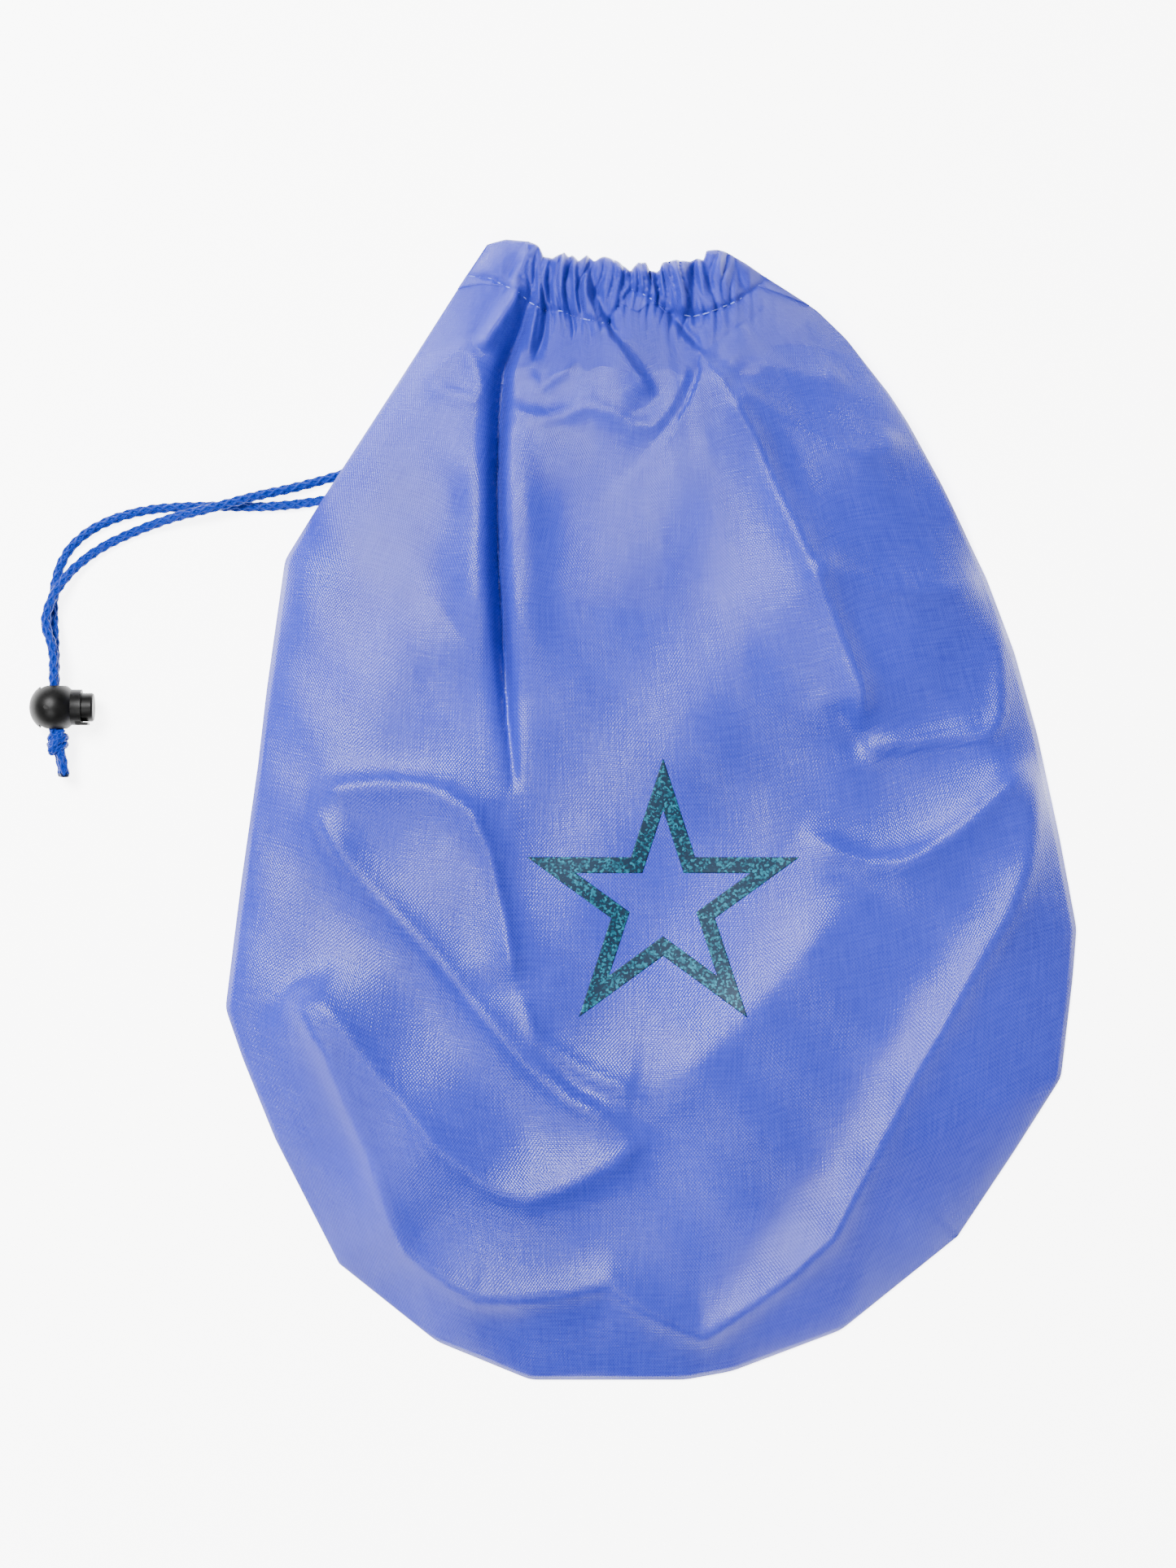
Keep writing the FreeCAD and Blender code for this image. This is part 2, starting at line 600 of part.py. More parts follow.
LEG_UNDER = [
    (EXIT_UNDER_X, EXIT_Y, EXIT_Z),
    (-15.1, NECK_LINE + 0.2, FLOOR),
    (-16.4, 168.0, FLOOR),
    (-23.0, 150.5, FLOOR),
    (-38.5, 134.0, FLOOR),
    (-59.0, 122.5, FLOOR),
    (-84.0, 115.2, FLOOR),
    (-109.0, 110.8, FLOOR),
    (-133.0, 107.3, FLOOR),
    (-157.0, 108.0, FLOOR),
    (-178.0, 106.9, FLOOR),
    (-194.0, 101.9, FLOOR),
    (-204.6, 94.0, FLOOR),
    (-209.5, 84.0, FLOOR),
    (-210.7, 73.5, FLOOR),
    (dim.lock_x, 58.0, LOCK_Z - STRAND_SHIFT),
    (dim.lock_x, CORD_END, LOCK_Z - STRAND_SHIFT),
]


def straight_on(leg, distance):
    """The place that continues a leg's first run backwards, through the cord exit."""
    first, second = Vector(*leg[0]), Vector(*leg[1])
    return tuple(first + (first - second).normalize() * distance)


def casing_loop():
    """Points of the cord inside the casing, from one side of the exit round the mouth to the
    other: it rides along the top of the tunnel, gently waved by the gathers."""
    through_exit = 4.4
    end_reach = dim.neck_width / 2 - value(CASING_HEIGHT) / 2
    left, right = dim.neck_offset - end_reach, dim.neck_offset + end_reach
    ride, wave = NECK_LINE + 13.0, 0.9
    points = [
        (EXIT_OVER_X, EXIT_Y, EXIT_Z),
        straight_on(LEG_OVER, through_exit),
        (EXIT_OVER_X - 4.0, NECK_LINE + 13.2, BACK_TUNNEL),
        (EXIT_OVER_X - 13.0, ride - wave, BACK_TUNNEL),
        (EXIT_OVER_X - 27.0, ride + wave, BACK_TUNNEL),
        (left, ride - wave, BACK_TUNNEL),
    ]
    count = 5
    for number in range(count + 1):
        x = left + (right - left) * number / count
        side = 1 if number % 2 else -1
        points.append((x, ride + side * wave, FRONT_TUNNEL))
    points += [
        (right, ride + wave, BACK_TUNNEL),
        (right - 22.0, ride - wave, BACK_TUNNEL),
        (right - 41.0, ride + wave, BACK_TUNNEL),
        (EXIT_UNDER_X + 10.0, ride - wave, BACK_TUNNEL),
        (EXIT_UNDER_X + 4.0, NECK_LINE + 13.2, BACK_TUNNEL),
        straight_on(LEG_UNDER, through_exit),
        (EXIT_UNDER_X, EXIT_Y, EXIT_Z),
    ]
    return points


def make_knot():
    """The overhand knot as one egg-shaped solid, drawn up into the flare of the lock's hole."""
    half_width, half_length = dim.knot_width / 2, dim.knot_length / 2
    egg = Part.Ellipse(Vector(), half_length, half_width)
    profile = Part.Wire([
        Part.ArcOfEllipse(egg, 0, math.pi).toShape(),
        Part.LineSegment(Vector(-half_length, 0, 0), Vector(half_length, 0, 0)).toShape(),
    ])
    solid = Part.Face(profile).revolve(Vector(), Vector(1, 0, 0), 360)
    feature = feature_of("drawstring_knot", solid)
    feature.Placement = Placement(KNOT_MIDDLE, Rotation(Vector(0, 0, 1), -82))
    return feature


def make_tails():
    """The two heat-cut ends past the knot, one resting on the other."""
    tip_y = KNOT_MIDDLE.y - dim.knot_length / 2 - dim.tail_length + 2
    start_y = KNOT_MIDDLE.y - dim.knot_length / 2 + 2
    middle_y = (tip_y + start_y) / 2
    middle_x, tip_x = KNOT_MIDDLE.x + 1.7, KNOT_MIDDLE.x + 2.2
    rows = (("drawstring_tail_over", STRAND_SHIFT, 0.0), ("drawstring_tail_under", -STRAND_SHIFT, -1.1))
    for label, shift, aside in rows:
        points = [
            (KNOT_MIDDLE.x + 0.8 + aside, start_y, LOCK_Z + shift),
            (middle_x + aside, middle_y, LOCK_Z + shift - 1.0),
            (tip_x + aside, tip_y, LOCK_Z + shift - 2.6),
        ]
        feature_of(label, cord_tube(points, dim.cord_diameter, label))


# ---------------------------------------------------------------- cord lock

def place_on_lock(body):
    """Puts a body's own origin at the middle of the ball, which rests on the floor."""
    body.setExpression("Placement.Base.x", "dims.lock_x")
    body.setExpression("Placement.Base.y", "dims.lock_y")
    body.setExpression("Placement.Base.z", "dims.ball_diameter / 2")


def make_lock_barrel():
    """The ball of the cord lock: bored for the plunger and its spring, crossed by the cord hole,
    with a collar and a thumb lip round the button."""
    body = new_body("lock_barrel")
    half = new_sketch(body, "barrel_half")
    ball = "dims.ball_diameter / 2"
    collar_start = f"sqrt(({ball})^2 - {COLLAR_RADIUS}^2)"
    r, start_x = value(ball), value(collar_start)
    pocket_radius = "dims.spring_pocket_diameter / 2"
    pocket_end = "(0 - dims.spring_pocket_end)"
    places = [
        (collar_start, COLLAR_RADIUS), ("dims.collar_reach", COLLAR_RADIUS),
        ("dims.collar_reach", BORE_RADIUS), (BORE_END, BORE_RADIUS),
        (BORE_END, pocket_radius), (pocket_end, pocket_radius),
        (pocket_end, "0"), (f"-1 * {ball}", "0"),
    ]
    lines = [Part.LineSegment(flat(a), flat(b)) for a, b in zip(places, places[1:])]
    angle = math.atan2(value(COLLAR_RADIUS), start_x)
    round_side = Part.ArcOfCircle(Part.Circle(Vector(), Vector(0, 0, 1), r), angle, math.pi)
    for piece in lines + [round_side]:
        half.addGeometry(piece, False)
    last = len(lines)
    for i in range(last - 1):
        half.addConstraint(Sketcher.Constraint("Coincident", i, 2, i + 1, 1))
    half.addConstraint(Sketcher.Constraint("Coincident", last, 1, 0, 1))
    half.addConstraint(Sketcher.Constraint("Coincident", last, 2, last - 1, 2))
    half.addConstraint(Sketcher.Constraint("Coincident", last, 3, -1, 1))
    pin(half, last - 1, 2, places[-1])
    for i, place in enumerate(places[:-1]):
        if i == 0:
            height = half.addConstraint(Sketcher.Constraint("DistanceY", -1, 1, 0, 1, value(place[1])))
            half.setExpression(f"Constraints[{height}]", place[1])
        else:
            pin(half, i, 1, place)
    revolve(body, "Revolution", half, "H_Axis")

    lip = new_sketch(body, "thumb_lip", "YZ_Plane", "dims.collar_reach - 2")
    outer, inner = COLLAR_RADIUS, f"({BORE_RADIUS} + 0.15)"
    low = f"-1 * {outer}"
    polygon(lip, [(low, "-1 * dims.lip_half_width"), (f"-1 * {inner}", "-1 * dims.lip_half_width"),
                  (f"-1 * {inner}", "dims.lip_half_width"), (low, "dims.lip_half_width")])
    pad(body, lip, "dims.lip_reach - dims.collar_reach + 2")

    pip = new_sketch(body, "gate_mark", level=f"{ball} - 1")
    circle(pip, ("-1.95", "0"), "dims.pip_diameter / 2")
    pad(body, pip, "0.9 + dims.pip_height / 3")
    doc.recompute()

    hole = new_sketch(body, "cord_hole", "XZ_Plane", f"-1 * {ball}")
    hole_outline(hole, BALL_HOLE_X)
    pocket(body, hole, "dims.ball_diameter", backwards=True)
    for name, side in (("flare_up", 1), ("flare_down", -1)):
        flare = new_sketch(body, name)
        mouth = FLARE_RADIUS
        depth = f"sqrt(({ball})^2 - ({mouth})^2)"
        throat = f"({HOLE_HEIGHT} / 2)"
        polygon(flare, [("0", f"{side} * {ball} * 1.05"), (f"{mouth} + 1.2", f"{side} * {ball} * 1.05"),
                        (mouth, f"{side} * {depth}"),
                        (throat, f"{side} * ({depth} - dims.flare_depth)"),
                        ("0", f"{side} * ({depth} - dims.flare_depth)")])
        before = body.Shape.Volume
        revolve(body, "Groove", flare, "V_Axis")
        doc.recompute()
        if not body.Shape.Volume < before:
            raise RuntimeError(f"{name} cuts nothing")
    place_on_lock(body)
    return body


def hole_outline(sketch, middle):
    """The cord hole of the ball or of the plunger: a rectangle that takes both cords, one above
    the other, and leaves room for the plunger's travel."""
    left, right = f"{middle} - {HOLE_WIDTH} / 2", f"{middle} + {HOLE_WIDTH} / 2"
    low, high = f"-1 * {HOLE_HEIGHT} / 2", f"{HOLE_HEIGHT} / 2"
    polygon(sketch, [(left, low), (right, low), (right, high), (left, high)])


def make_lock_plunger():
    """The button and its shank, crossed by its own cord hole."""
    body = new_body("lock_plunger")
    shank = new_sketch(body, "shank", "YZ_Plane", PLUNGER_END)
    circle(shank, ("0", "0"), "dims.plunger_diameter / 2")
    pad(body, shank, f"dims.plunger_reach - {PLUNGER_END}")
    hole = new_sketch(body, "plunger_hole", "XZ_Plane", "-1 * dims.plunger_diameter")
    hole_outline(hole, PLUNGER_HOLE_X)
    crossed = pocket(body, hole, "2 * dims.plunger_diameter", backwards=True)
    rim = [f"Edge{i + 1}" for i, e in enumerate(crossed.Shape.Edges)
           if e.BoundBox.XMin > dim.plunger_reach - 0.01]
    edge = body.newObject("PartDesign::Fillet", "button_edge")
    edge.Base = (crossed, rim)
    edge.Radius = dim.plunger_edge
    edge.setExpression("Radius", "dims.plunger_edge")
    place_on_lock(body)
    return body


def make_lock_spring():
    """The spring behind the plunger, an open coil along the plunger's axis."""
    room = dim.spring_pocket_end + value(PLUNGER_END)
    slack = 0.04
    height = room - dim.spring_wire - 2 * slack
    radius = (dim.spring_diameter - dim.spring_wire) / 2
    helix = Part.makeHelix(height / dim.spring_turns, height, radius)
    start = Vector(radius, 0, 0)
    ring = Part.Circle(start, Vector(0, 1, 0), dim.spring_wire / 2).toShape()
    coil = Part.Wire(helix.Edges).makePipeShell([Part.Wire([ring])], True, True)
    feature = feature_of("lock_spring", coil)
    base = Vector(dim.lock_x - dim.spring_pocket_end + slack + dim.spring_wire / 2,
                  dim.lock_y, dim.ball_diameter / 2)
    feature.Placement = Placement(base, Rotation(Vector(0, 1, 0), 90))
    return feature


# ---------------------------------------------------------------- build, check and write

def build():
    """Makes every sub-part in the order in which the bag is put together."""
    make_front_panel()
    make_back_panel()
    make_casing("front_casing", keeps_front=True)
    make_back_casing()
    make_exit_binding()
    make_seam_allowance()
    make_seam_thread()
    row_top, row_bottom = value(CASING_TOP), dim.casing_lift
    make_casing_stitches("front_casing_stitches", row_top, True, None)
    margin = value(EXIT_WIDTH) / 2 + dim.exit_binding + dim.stitch_pitch / 2
    gap = (dim.exit_x - margin, dim.exit_x + margin)
    make_casing_stitches("back_casing_stitches", row_bottom, False, gap)
    make_print()
    feature_of("drawstring_loop", cord_tube(casing_loop(), dim.cord_diameter, "drawstring_loop"))
    for label, points in (("drawstring_leg_over", LEG_OVER), ("drawstring_leg_under", LEG_UNDER)):
        feature_of(label, cord_tube(points, dim.cord_diameter, label))
    make_knot()
    make_tails()
    make_lock_barrel()
    make_lock_plunger()
    make_lock_spring()
    doc.recompute()


def sub_parts():
    """Every object that is a sub-part: the bodies and the plain features outside them."""
    inside = {member.Name for body in doc.findObjects("PartDesign::Body") for member in body.Group}
    plain = [o for o in doc.Objects if o.TypeId == "Part::Feature" and o.Name not in inside]
    return doc.findObjects("PartDesign::Body") + plain


def write():
    """Checks every object and shape, then writes each sub-part."""
    for item in doc.Objects:
        if {"Invalid", "Error"} & set(item.State):
            raise RuntimeError(f"{item.Label} is in state {item.State}")
    for item in sub_parts():
        if item.Shape.isNull() or not item.Shape.isValid() or not item.Shape.Solids:
            raise RuntimeError(f"{item.Label} has no valid shape")
    os.makedirs("parts", exist_ok=True)
    for item in sub_parts():
        item.Shape.exportStep(os.path.join("parts", item.Label + ".step"))
        box = item.Shape.BoundBox
        print(f"{item.Label}: {len(item.Shape.Solids)} solid(s), {item.Shape.Volume:.1f} mm3, "
              f"x {box.XMin:.2f}..{box.XMax:.2f} y {box.YMin:.2f}..{box.YMax:.2f} "
              f"z {box.ZMin:.2f}..{box.ZMax:.2f}")


build()
write()
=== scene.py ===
"""Looks of a drawstring ball bag for rhythmic gymnastics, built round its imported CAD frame.

The bag lies flat on its back: lustrous taffeta, a gathered casing, a braided drawstring that comes
out underneath and ends in a spring cord lock and a knot. Places in the classes below are in
millimetres, in the frame of the CAD part, and MM turns them to metres.
"""
import logging
import math
from dataclasses import dataclass
from enum import Enum

import bmesh
import bpy
import numpy as np
from mathutils import Matrix, Vector


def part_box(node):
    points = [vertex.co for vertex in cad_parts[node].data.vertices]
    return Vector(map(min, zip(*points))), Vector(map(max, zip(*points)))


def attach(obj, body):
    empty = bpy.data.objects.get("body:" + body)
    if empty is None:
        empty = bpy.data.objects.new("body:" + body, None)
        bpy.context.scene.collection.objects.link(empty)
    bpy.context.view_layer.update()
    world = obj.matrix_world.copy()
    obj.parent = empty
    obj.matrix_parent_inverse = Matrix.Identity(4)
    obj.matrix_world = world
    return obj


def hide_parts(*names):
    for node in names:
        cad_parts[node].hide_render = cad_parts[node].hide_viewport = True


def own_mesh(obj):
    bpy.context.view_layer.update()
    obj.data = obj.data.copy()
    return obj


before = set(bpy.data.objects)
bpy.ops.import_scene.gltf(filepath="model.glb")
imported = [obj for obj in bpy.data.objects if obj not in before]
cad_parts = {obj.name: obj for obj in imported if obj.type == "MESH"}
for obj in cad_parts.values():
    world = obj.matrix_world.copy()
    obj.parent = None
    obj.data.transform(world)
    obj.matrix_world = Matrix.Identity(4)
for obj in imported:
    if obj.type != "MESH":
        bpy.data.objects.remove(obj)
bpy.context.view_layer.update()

MM = 0.001
LOG = logging.getLogger("ball_bag")

# Further than any place on the bag, and too short to divide by.
FAR = 1e9
TINY = 1e-6

# A line seen from above, in millimetres, and a cord's route, in metres.
Places = tuple[tuple[float, float], ...]
Route = tuple[tuple[float, float, float], ...]


# ---------------------------------------------------------------- shader helpers

def linear(code: str) -> tuple[float, float, float, float]:
    """Turns an sRGB hex colour to the linear colour that a shader takes.

    Args:
        code: The colour, such as "#5A70D0".

    Returns:
        Red, green, blue and an alpha of one.
    """
    channels = [int(code[i:i + 2], 16) / 255 for i in (1, 3, 5)]
    red, green, blue = (c / 12.92 if c <= 0.04045 else ((c + 0.055) / 1.055) ** 2.4
                        for c in channels)
    return red, green, blue, 1.0


def per_metre(size_mm: float) -> float:
    """The scale at which a pattern repeats once in this many millimetres."""
    return 1 / (size_mm * MM)


def feed(tree: bpy.types.NodeTree, node: bpy.types.Node, inputs: dict) -> None:
    """Sets or links a shader node's inputs.

    Args:
        tree: The material's node tree.
        node: The node.
        inputs: Values or output sockets by the name or number of the input that takes them.
    """
    for key, given in inputs.items():
        if isinstance(given, bpy.types.NodeSocket):
            tree.links.new(given, node.inputs[key])
        else:
            node.inputs[key].default_value = given


def add_node(tree: bpy.types.NodeTree, kind: str, settings: dict | None = None,
             inputs: dict | None = None) -> bpy.types.Node:
    """Adds one shader node.

    Args:
        tree: The material's node tree.
        kind: The node's type, such as "ShaderNodeMath".
        settings: The node's own properties by name.
        inputs: Values or output sockets by the name or number of the input that takes them.

    Returns:
        The new node.
    """
    node = tree.nodes.new(kind)
    for name, setting in (settings or {}).items():
        setattr(node, name, setting)
    feed(tree, node, inputs or {})
    return node


@dataclass(frozen=True)
class Finish:
    """What each finish shares: a name, a colour and a roughness."""

    name: str
    colour: str
    roughness: float

    def material(self) -> bpy.types.Material:
        """Makes the material, or finds it if it is there.

        Returns:
            The material.
        """
        found = bpy.data.materials.get(self.name)
        if found:
            return found
        made = bpy.data.materials.new(self.name)
        made.use_nodes = True
        tree = made.node_tree
        tree.nodes.clear()
        surface = add_node(tree, "ShaderNodeBsdfPrincipled", {},
                           {"Base Color": linear(self.colour), "Roughness": self.roughness})
        add_node(tree, "ShaderNodeOutputMaterial", {}, {"Surface": surface.outputs["BSDF"]})
        self.dress(tree, surface)
        return made

    def dress(self, tree: bpy.types.NodeTree, surface: bpy.types.Node) -> None:
        """Adds what this finish has of its own; a plain finish has nothing."""

    def grain(self, tree: bpy.types.NodeTree, surface: bpy.types.Node, size_mm: float,
              detail: float, strength: float, depth_mm: float) -> bpy.types.NodeSocket:
        """Adds a fine uneven relief all over the surface.

        Args:
            tree: The material's node tree.
            surface: The principled shader.
            size_mm: The size of its bumps.
            detail: How many finer layers lie on them.
            strength: How strongly the relief tilts the light.
            depth_mm: How deep it is.

        Returns:
            The height of the relief, from 0 to 1.
        """
        place = add_node(tree, "ShaderNodeTexCoord")
        bumps = add_node(tree, "ShaderNodeTexNoise", {},
                         {"Vector": place.outputs["Object"], "Scale": per_metre(size_mm),
                          "Detail": detail})
        relief = add_node(tree, "ShaderNodeBump", {},
                          {"Strength": strength, "Distance": depth_mm * MM,
                           "Height": bumps.outputs["Fac"]})
        feed(tree, surface, {"Normal": relief.outputs[0]})
        return bumps.outputs["Fac"]


@dataclass(frozen=True)
class Taffeta(Finish):
    """Polyester taffeta, plain woven of bright filament and calendered: a smooth lustrous cloth
    whose highlights break up into the crossing threads.

    Attributes:
        deep: The colour that the slow drift goes down to.
        bright: The colour of a painted highlight on the threads' crowns and slubs, where the relief
            stands highest.
        repeat_mm: One repeat of the weave, which is two threads, as drawn.
        slub_mm: The length and the width of a slub, a thicker stretch of thread.
        drift_mm: The size of the slow drift of colour.
        slub_tone: How much the slubs count in the painted highlight, against the weave.
        slub_relief: How much they count in the relief, against the weave.
        crowns: The least and most tone over which the painted highlight comes in.
        painted_highlight_share: How much of the bright colour comes in at most.
        relief_mm: The depth of the relief.
        relief_strength: How strongly it tilts the light.
    """

    deep: str
    bright: str
    repeat_mm: float
    slub_mm: tuple[float, float] = (11.111, 0.66667)
    drift_mm: float = 71.43
    slub_tone: float = 2.5
    slub_relief: float = 2.2
    crowns: tuple[float, float] = (1.2, 3.8)
    painted_highlight_share: float = 0.36
    relief_mm: float = 0.06
    relief_strength: float = 0.8

    def weave(self, tree: bpy.types.NodeTree, flat: bpy.types.Node) -> bpy.types.NodeSocket:
        """Adds the plain weave: a wave across times a wave along.

        Args:
            tree: The material's node tree.
            flat: The node that gives places on the flat cloth.

        Returns:
            The weave's height, from -1 to 1.
        """
        scaled = add_node(tree, "ShaderNodeVectorMath", {"operation": "SCALE"},
                          {0: flat.outputs["UV"], "Scale": 2 * math.pi * per_metre(self.repeat_mm)})
        split = add_node(tree, "ShaderNodeSeparateXYZ", {}, {0: scaled.outputs[0]})
        warp = add_node(tree, "ShaderNodeMath", {"operation": "SINE"}, {0: split.outputs["X"]})
        weft = add_node(tree, "ShaderNodeMath", {"operation": "SINE"}, {0: split.outputs["Y"]})
        crossing = add_node(tree, "ShaderNodeMath", {"operation": "MULTIPLY"},
                            {0: warp.outputs[0], 1: weft.outputs[0]})
        return crossing.outputs[0]

    def slubs(self, tree: bpy.types.NodeTree, flat: bpy.types.Node) -> bpy.types.NodeSocket:
        """Adds slubs that run along both sets of threads.

        Args:
            tree: The material's node tree.
            flat: The node that gives places on the flat cloth.

        Returns:
            The slubs' height, from 0 to 2.
        """
        length, width = (per_metre(size) for size in self.slub_mm)
        runs = []
        for stretch in ((width, length, 1.0), (length, width, 1.0)):
            laid = add_node(tree, "ShaderNodeMapping", {},
                            {"Vector": flat.outputs["UV"], "Scale": stretch})
            runs.append(add_node(tree, "ShaderNodeTexNoise", {},
                                 {"Vector": laid.outputs[0], "Scale": 1.0, "Detail": 2.0}))
        crossed = add_node(tree, "ShaderNodeMath", {"operation": "ADD"},
                           {0: runs[0].outputs["Fac"], 1: runs[1].outputs["Fac"]})
        return crossed.outputs[0]

    def dress(self, tree: bpy.types.NodeTree, surface: bpy.types.Node) -> None:
        """Adds the weave, a slow drift of colour, a painted highlight on the raised threads and the
        filament's lustre.

        Args:
            tree: The material's node tree.
            surface: The principled shader.
        """
        flat = add_node(tree, "ShaderNodeUVMap", {"uv_map": "threads"})
        weave, slubs = self.weave(tree, flat), self.slubs(tree, flat)
        place = add_node(tree, "ShaderNodeTexCoord")
        drift = add_node(tree, "ShaderNodeTexNoise", {},
                         {"Vector": place.outputs["Object"], "Scale": per_metre(self.drift_mm),
                          "Detail": 3.0})
        shade = add_node(tree, "ShaderNodeValToRGB", {}, {0: drift.outputs["Fac"]})
        stops = shade.color_ramp.elements
        for stop, position, colour in zip(stops, (0.35, 0.65), (self.deep, self.colour)):
            stop.position = position
            stop.color = linear(colour)
        # Painted highlight: the bright colour comes in where the slubs and the weave's crowns raise the
        # relief.
        tone = add_node(tree, "ShaderNodeMath", {"operation": "MULTIPLY_ADD"},
                        {0: slubs, 1: self.slub_tone, 2: weave})
        share = add_node(tree, "ShaderNodeMapRange", {},
                         {"Value": tone.outputs[0], "From Min": self.crowns[0],
                          "From Max": self.crowns[1], "To Min": 0.0, "To Max": self.painted_highlight_share})
        threads = add_node(tree, "ShaderNodeMix", {"data_type": "RGBA"},
                           {"Factor": share.outputs[0], 6: shade.outputs[0],
                            7: linear(self.bright)})
        relief = add_node(tree, "ShaderNodeMath", {"operation": "MULTIPLY_ADD"},
                          {0: slubs, 1: self.slub_relief, 2: weave})
        bump = add_node(tree, "ShaderNodeBump", {},
                        {"Strength": self.relief_strength, "Distance": self.relief_mm * MM,
                         "Height": relief.outputs[0]})
        feed(tree, surface, {"Base Color": threads.outputs[2], "Normal": bump.outputs[0],
                             "Specular IOR Level": 0.45, "Specular Tint": linear("#DCDDFB"),
                             "Sheen Weight": 0.05, "Sheen Roughness": 0.4,
                             "Sheen Tint": linear("#C9CBF5")})


@dataclass(frozen=True)
class Braid(Finish):
    """Braided polyester filament: strands of fine bright fibres that catch the light on their
    crowns and go deep blue between them.

    Attributes:
        bright: The colour of a painted highlight on the raised tufts of the fibres' relief.
        fibre_mm: The size of a tuft of fibres.
    """

    bright: str
    fibre_mm: float = 0.625

    def dress(self, tree: bpy.types.NodeTree, surface: bpy.types.Node) -> None:
        """Adds the fibres, a painted highlight on their raised tufts, and their sheen.

        Args:
            tree: The material's node tree.
            surface: The principled shader.
        """
        fibres = self.grain(tree, surface, self.fibre_mm, detail=3.0, strength=0.5, depth_mm=0.1)
        # Painted highlight: the bright colour comes in where the fibres' relief stands highest.
        tone = add_node(tree, "ShaderNodeMix", {"data_type": "RGBA"},
                        {"Factor": fibres, 6: linear(self.colour), 7: linear(self.bright)})
        feed(tree, surface, {"Base Color": tone.outputs[2], "Specular IOR Level": 0.25,
                             "Specular Tint": linear("#9DBBFF")})


@dataclass(frozen=True)
class GlitterFilm(Finish):
    """Glitter transfer film pressed on the cloth: metallised flakes at all angles in a clear
    tinted binder, some dark and some flashing, their flash painted into their colour as a glint.

    Attributes:
        flake: The colour of the painted glint on the flakes that flash.
        flake_mm: The size of a flake, about twice the real one so that flakes show.
        dark_share: The share of the flakes that stay dark, without the painted glint.
    """

    flake: str
    flake_mm: float
    dark_share: float = 0.55

    def dress(self, tree: bpy.types.NodeTree, surface: bpy.types.Node) -> None:
        """Adds the flakes, with a painted glint on a share of them.

        Args:
            tree: The material's node tree.
            surface: The principled shader.
        """
        place = add_node(tree, "ShaderNodeTexCoord")
        flakes = add_node(tree, "ShaderNodeTexVoronoi", {},
                          {"Vector": place.outputs["Object"], "Scale": per_metre(self.flake_mm)})
        split = add_node(tree, "ShaderNodeSeparateColor", {}, {0: flakes.outputs["Color"]})
        # Painted glint: a random share of the flakes gets the bright flake colour, as if it flashed.
        painted_glint = add_node(tree, "ShaderNodeValToRGB", {}, {0: split.outputs[0]})
        stops = painted_glint.color_ramp.elements
        for stop, position, colour in zip(stops, (self.dark_share, 1.0), (self.colour, self.flake)):
            stop.position = position
            stop.color = linear(colour)
        bump = add_node(tree, "ShaderNodeBump", {},
                        {"Strength": 0.8, "Distance": 0.2 * MM, "Height": split.outputs[1]})
        feed(tree, surface, {"Base Color": painted_glint.outputs[0], "Normal": bump.outputs[0],
                             "Metallic": 0.2, "Specular IOR Level": 0.22})


@dataclass(frozen=True)
class MouldedPlastic(Finish):
    """Black ABS, injection moulded in a lightly etched mould: satin, with faint scuffs.

    Attributes:
        grain_mm: The size of the etched grain.
        scuff_mm: The size of a scuff.
    """

    grain_mm: float = 0.4
    scuff_mm: float = 3.125

    def dress(self, tree: bpy.types.NodeTree, surface: bpy.types.Node) -> None:
        """Adds the etched grain and the scuffs' uneven gloss.

        Args:
            tree: The material's node tree.
            surface: The principled shader.
        """
        self.grain(tree, surface, self.grain_mm, detail=2.0, strength=0.25, depth_mm=0.05)
        place = add_node(tree, "ShaderNodeTexCoord")
        scuffs = add_node(tree, "ShaderNodeTexNoise", {},
                          {"Vector": place.outputs["Object"], "Scale": per_metre(self.scuff_mm),
                           "Detail": 4.0})
        gloss = add_node(tree, "ShaderNodeMapRange", {},
                         {"Value": scuffs.outputs["Fac"], "To Min": self.roughness - 0.1,
                          "To Max": self.roughness + 0.14})
        feed(tree, surface, {"Roughness": gloss.outputs[0], "IOR": 1.54,
                             "Specular IOR Level": 0.14})


@dataclass(frozen=True)
class SpunThread(Finish):
    """Spun polyester sewing thread: matt, with a twist too fine to see but for its mottle.

    Attributes:
        twist_mm: The length of one turn of the twist.
    """

    twist_mm: float = 0.33333

    def dress(self, tree: bpy.types.NodeTree, surface: bpy.types.Node) -> None:
        """Adds the twist's mottle.

        Args:
            tree: The material's node tree.
            surface: The principled shader.
        """
        self.grain(tree, surface, self.twist_mm, detail=1.0, strength=0.4, depth_mm=0.08)
        feed(tree, surface, {"Sheen Weight": 0.3})


@dataclass(frozen=True)
class DrawnWire(Finish):
    """Spring wire, drawn through a die: bright steel with fine scratches.

    Attributes:
        scratch_mm: The size of a scratch.
    """

    scratch_mm: float = 0.25

    def dress(self, tree: bpy.types.NodeTree, surface: bpy.types.Node) -> None:
        """Makes it scratched metal.

        Args:
            tree: The material's node tree.
            surface: The principled shader.
        """
        self.grain(tree, surface, self.scratch_mm, detail=2.0, strength=0.2, depth_mm=0.02)
        feed(tree, surface, {"Metallic": 1.0})


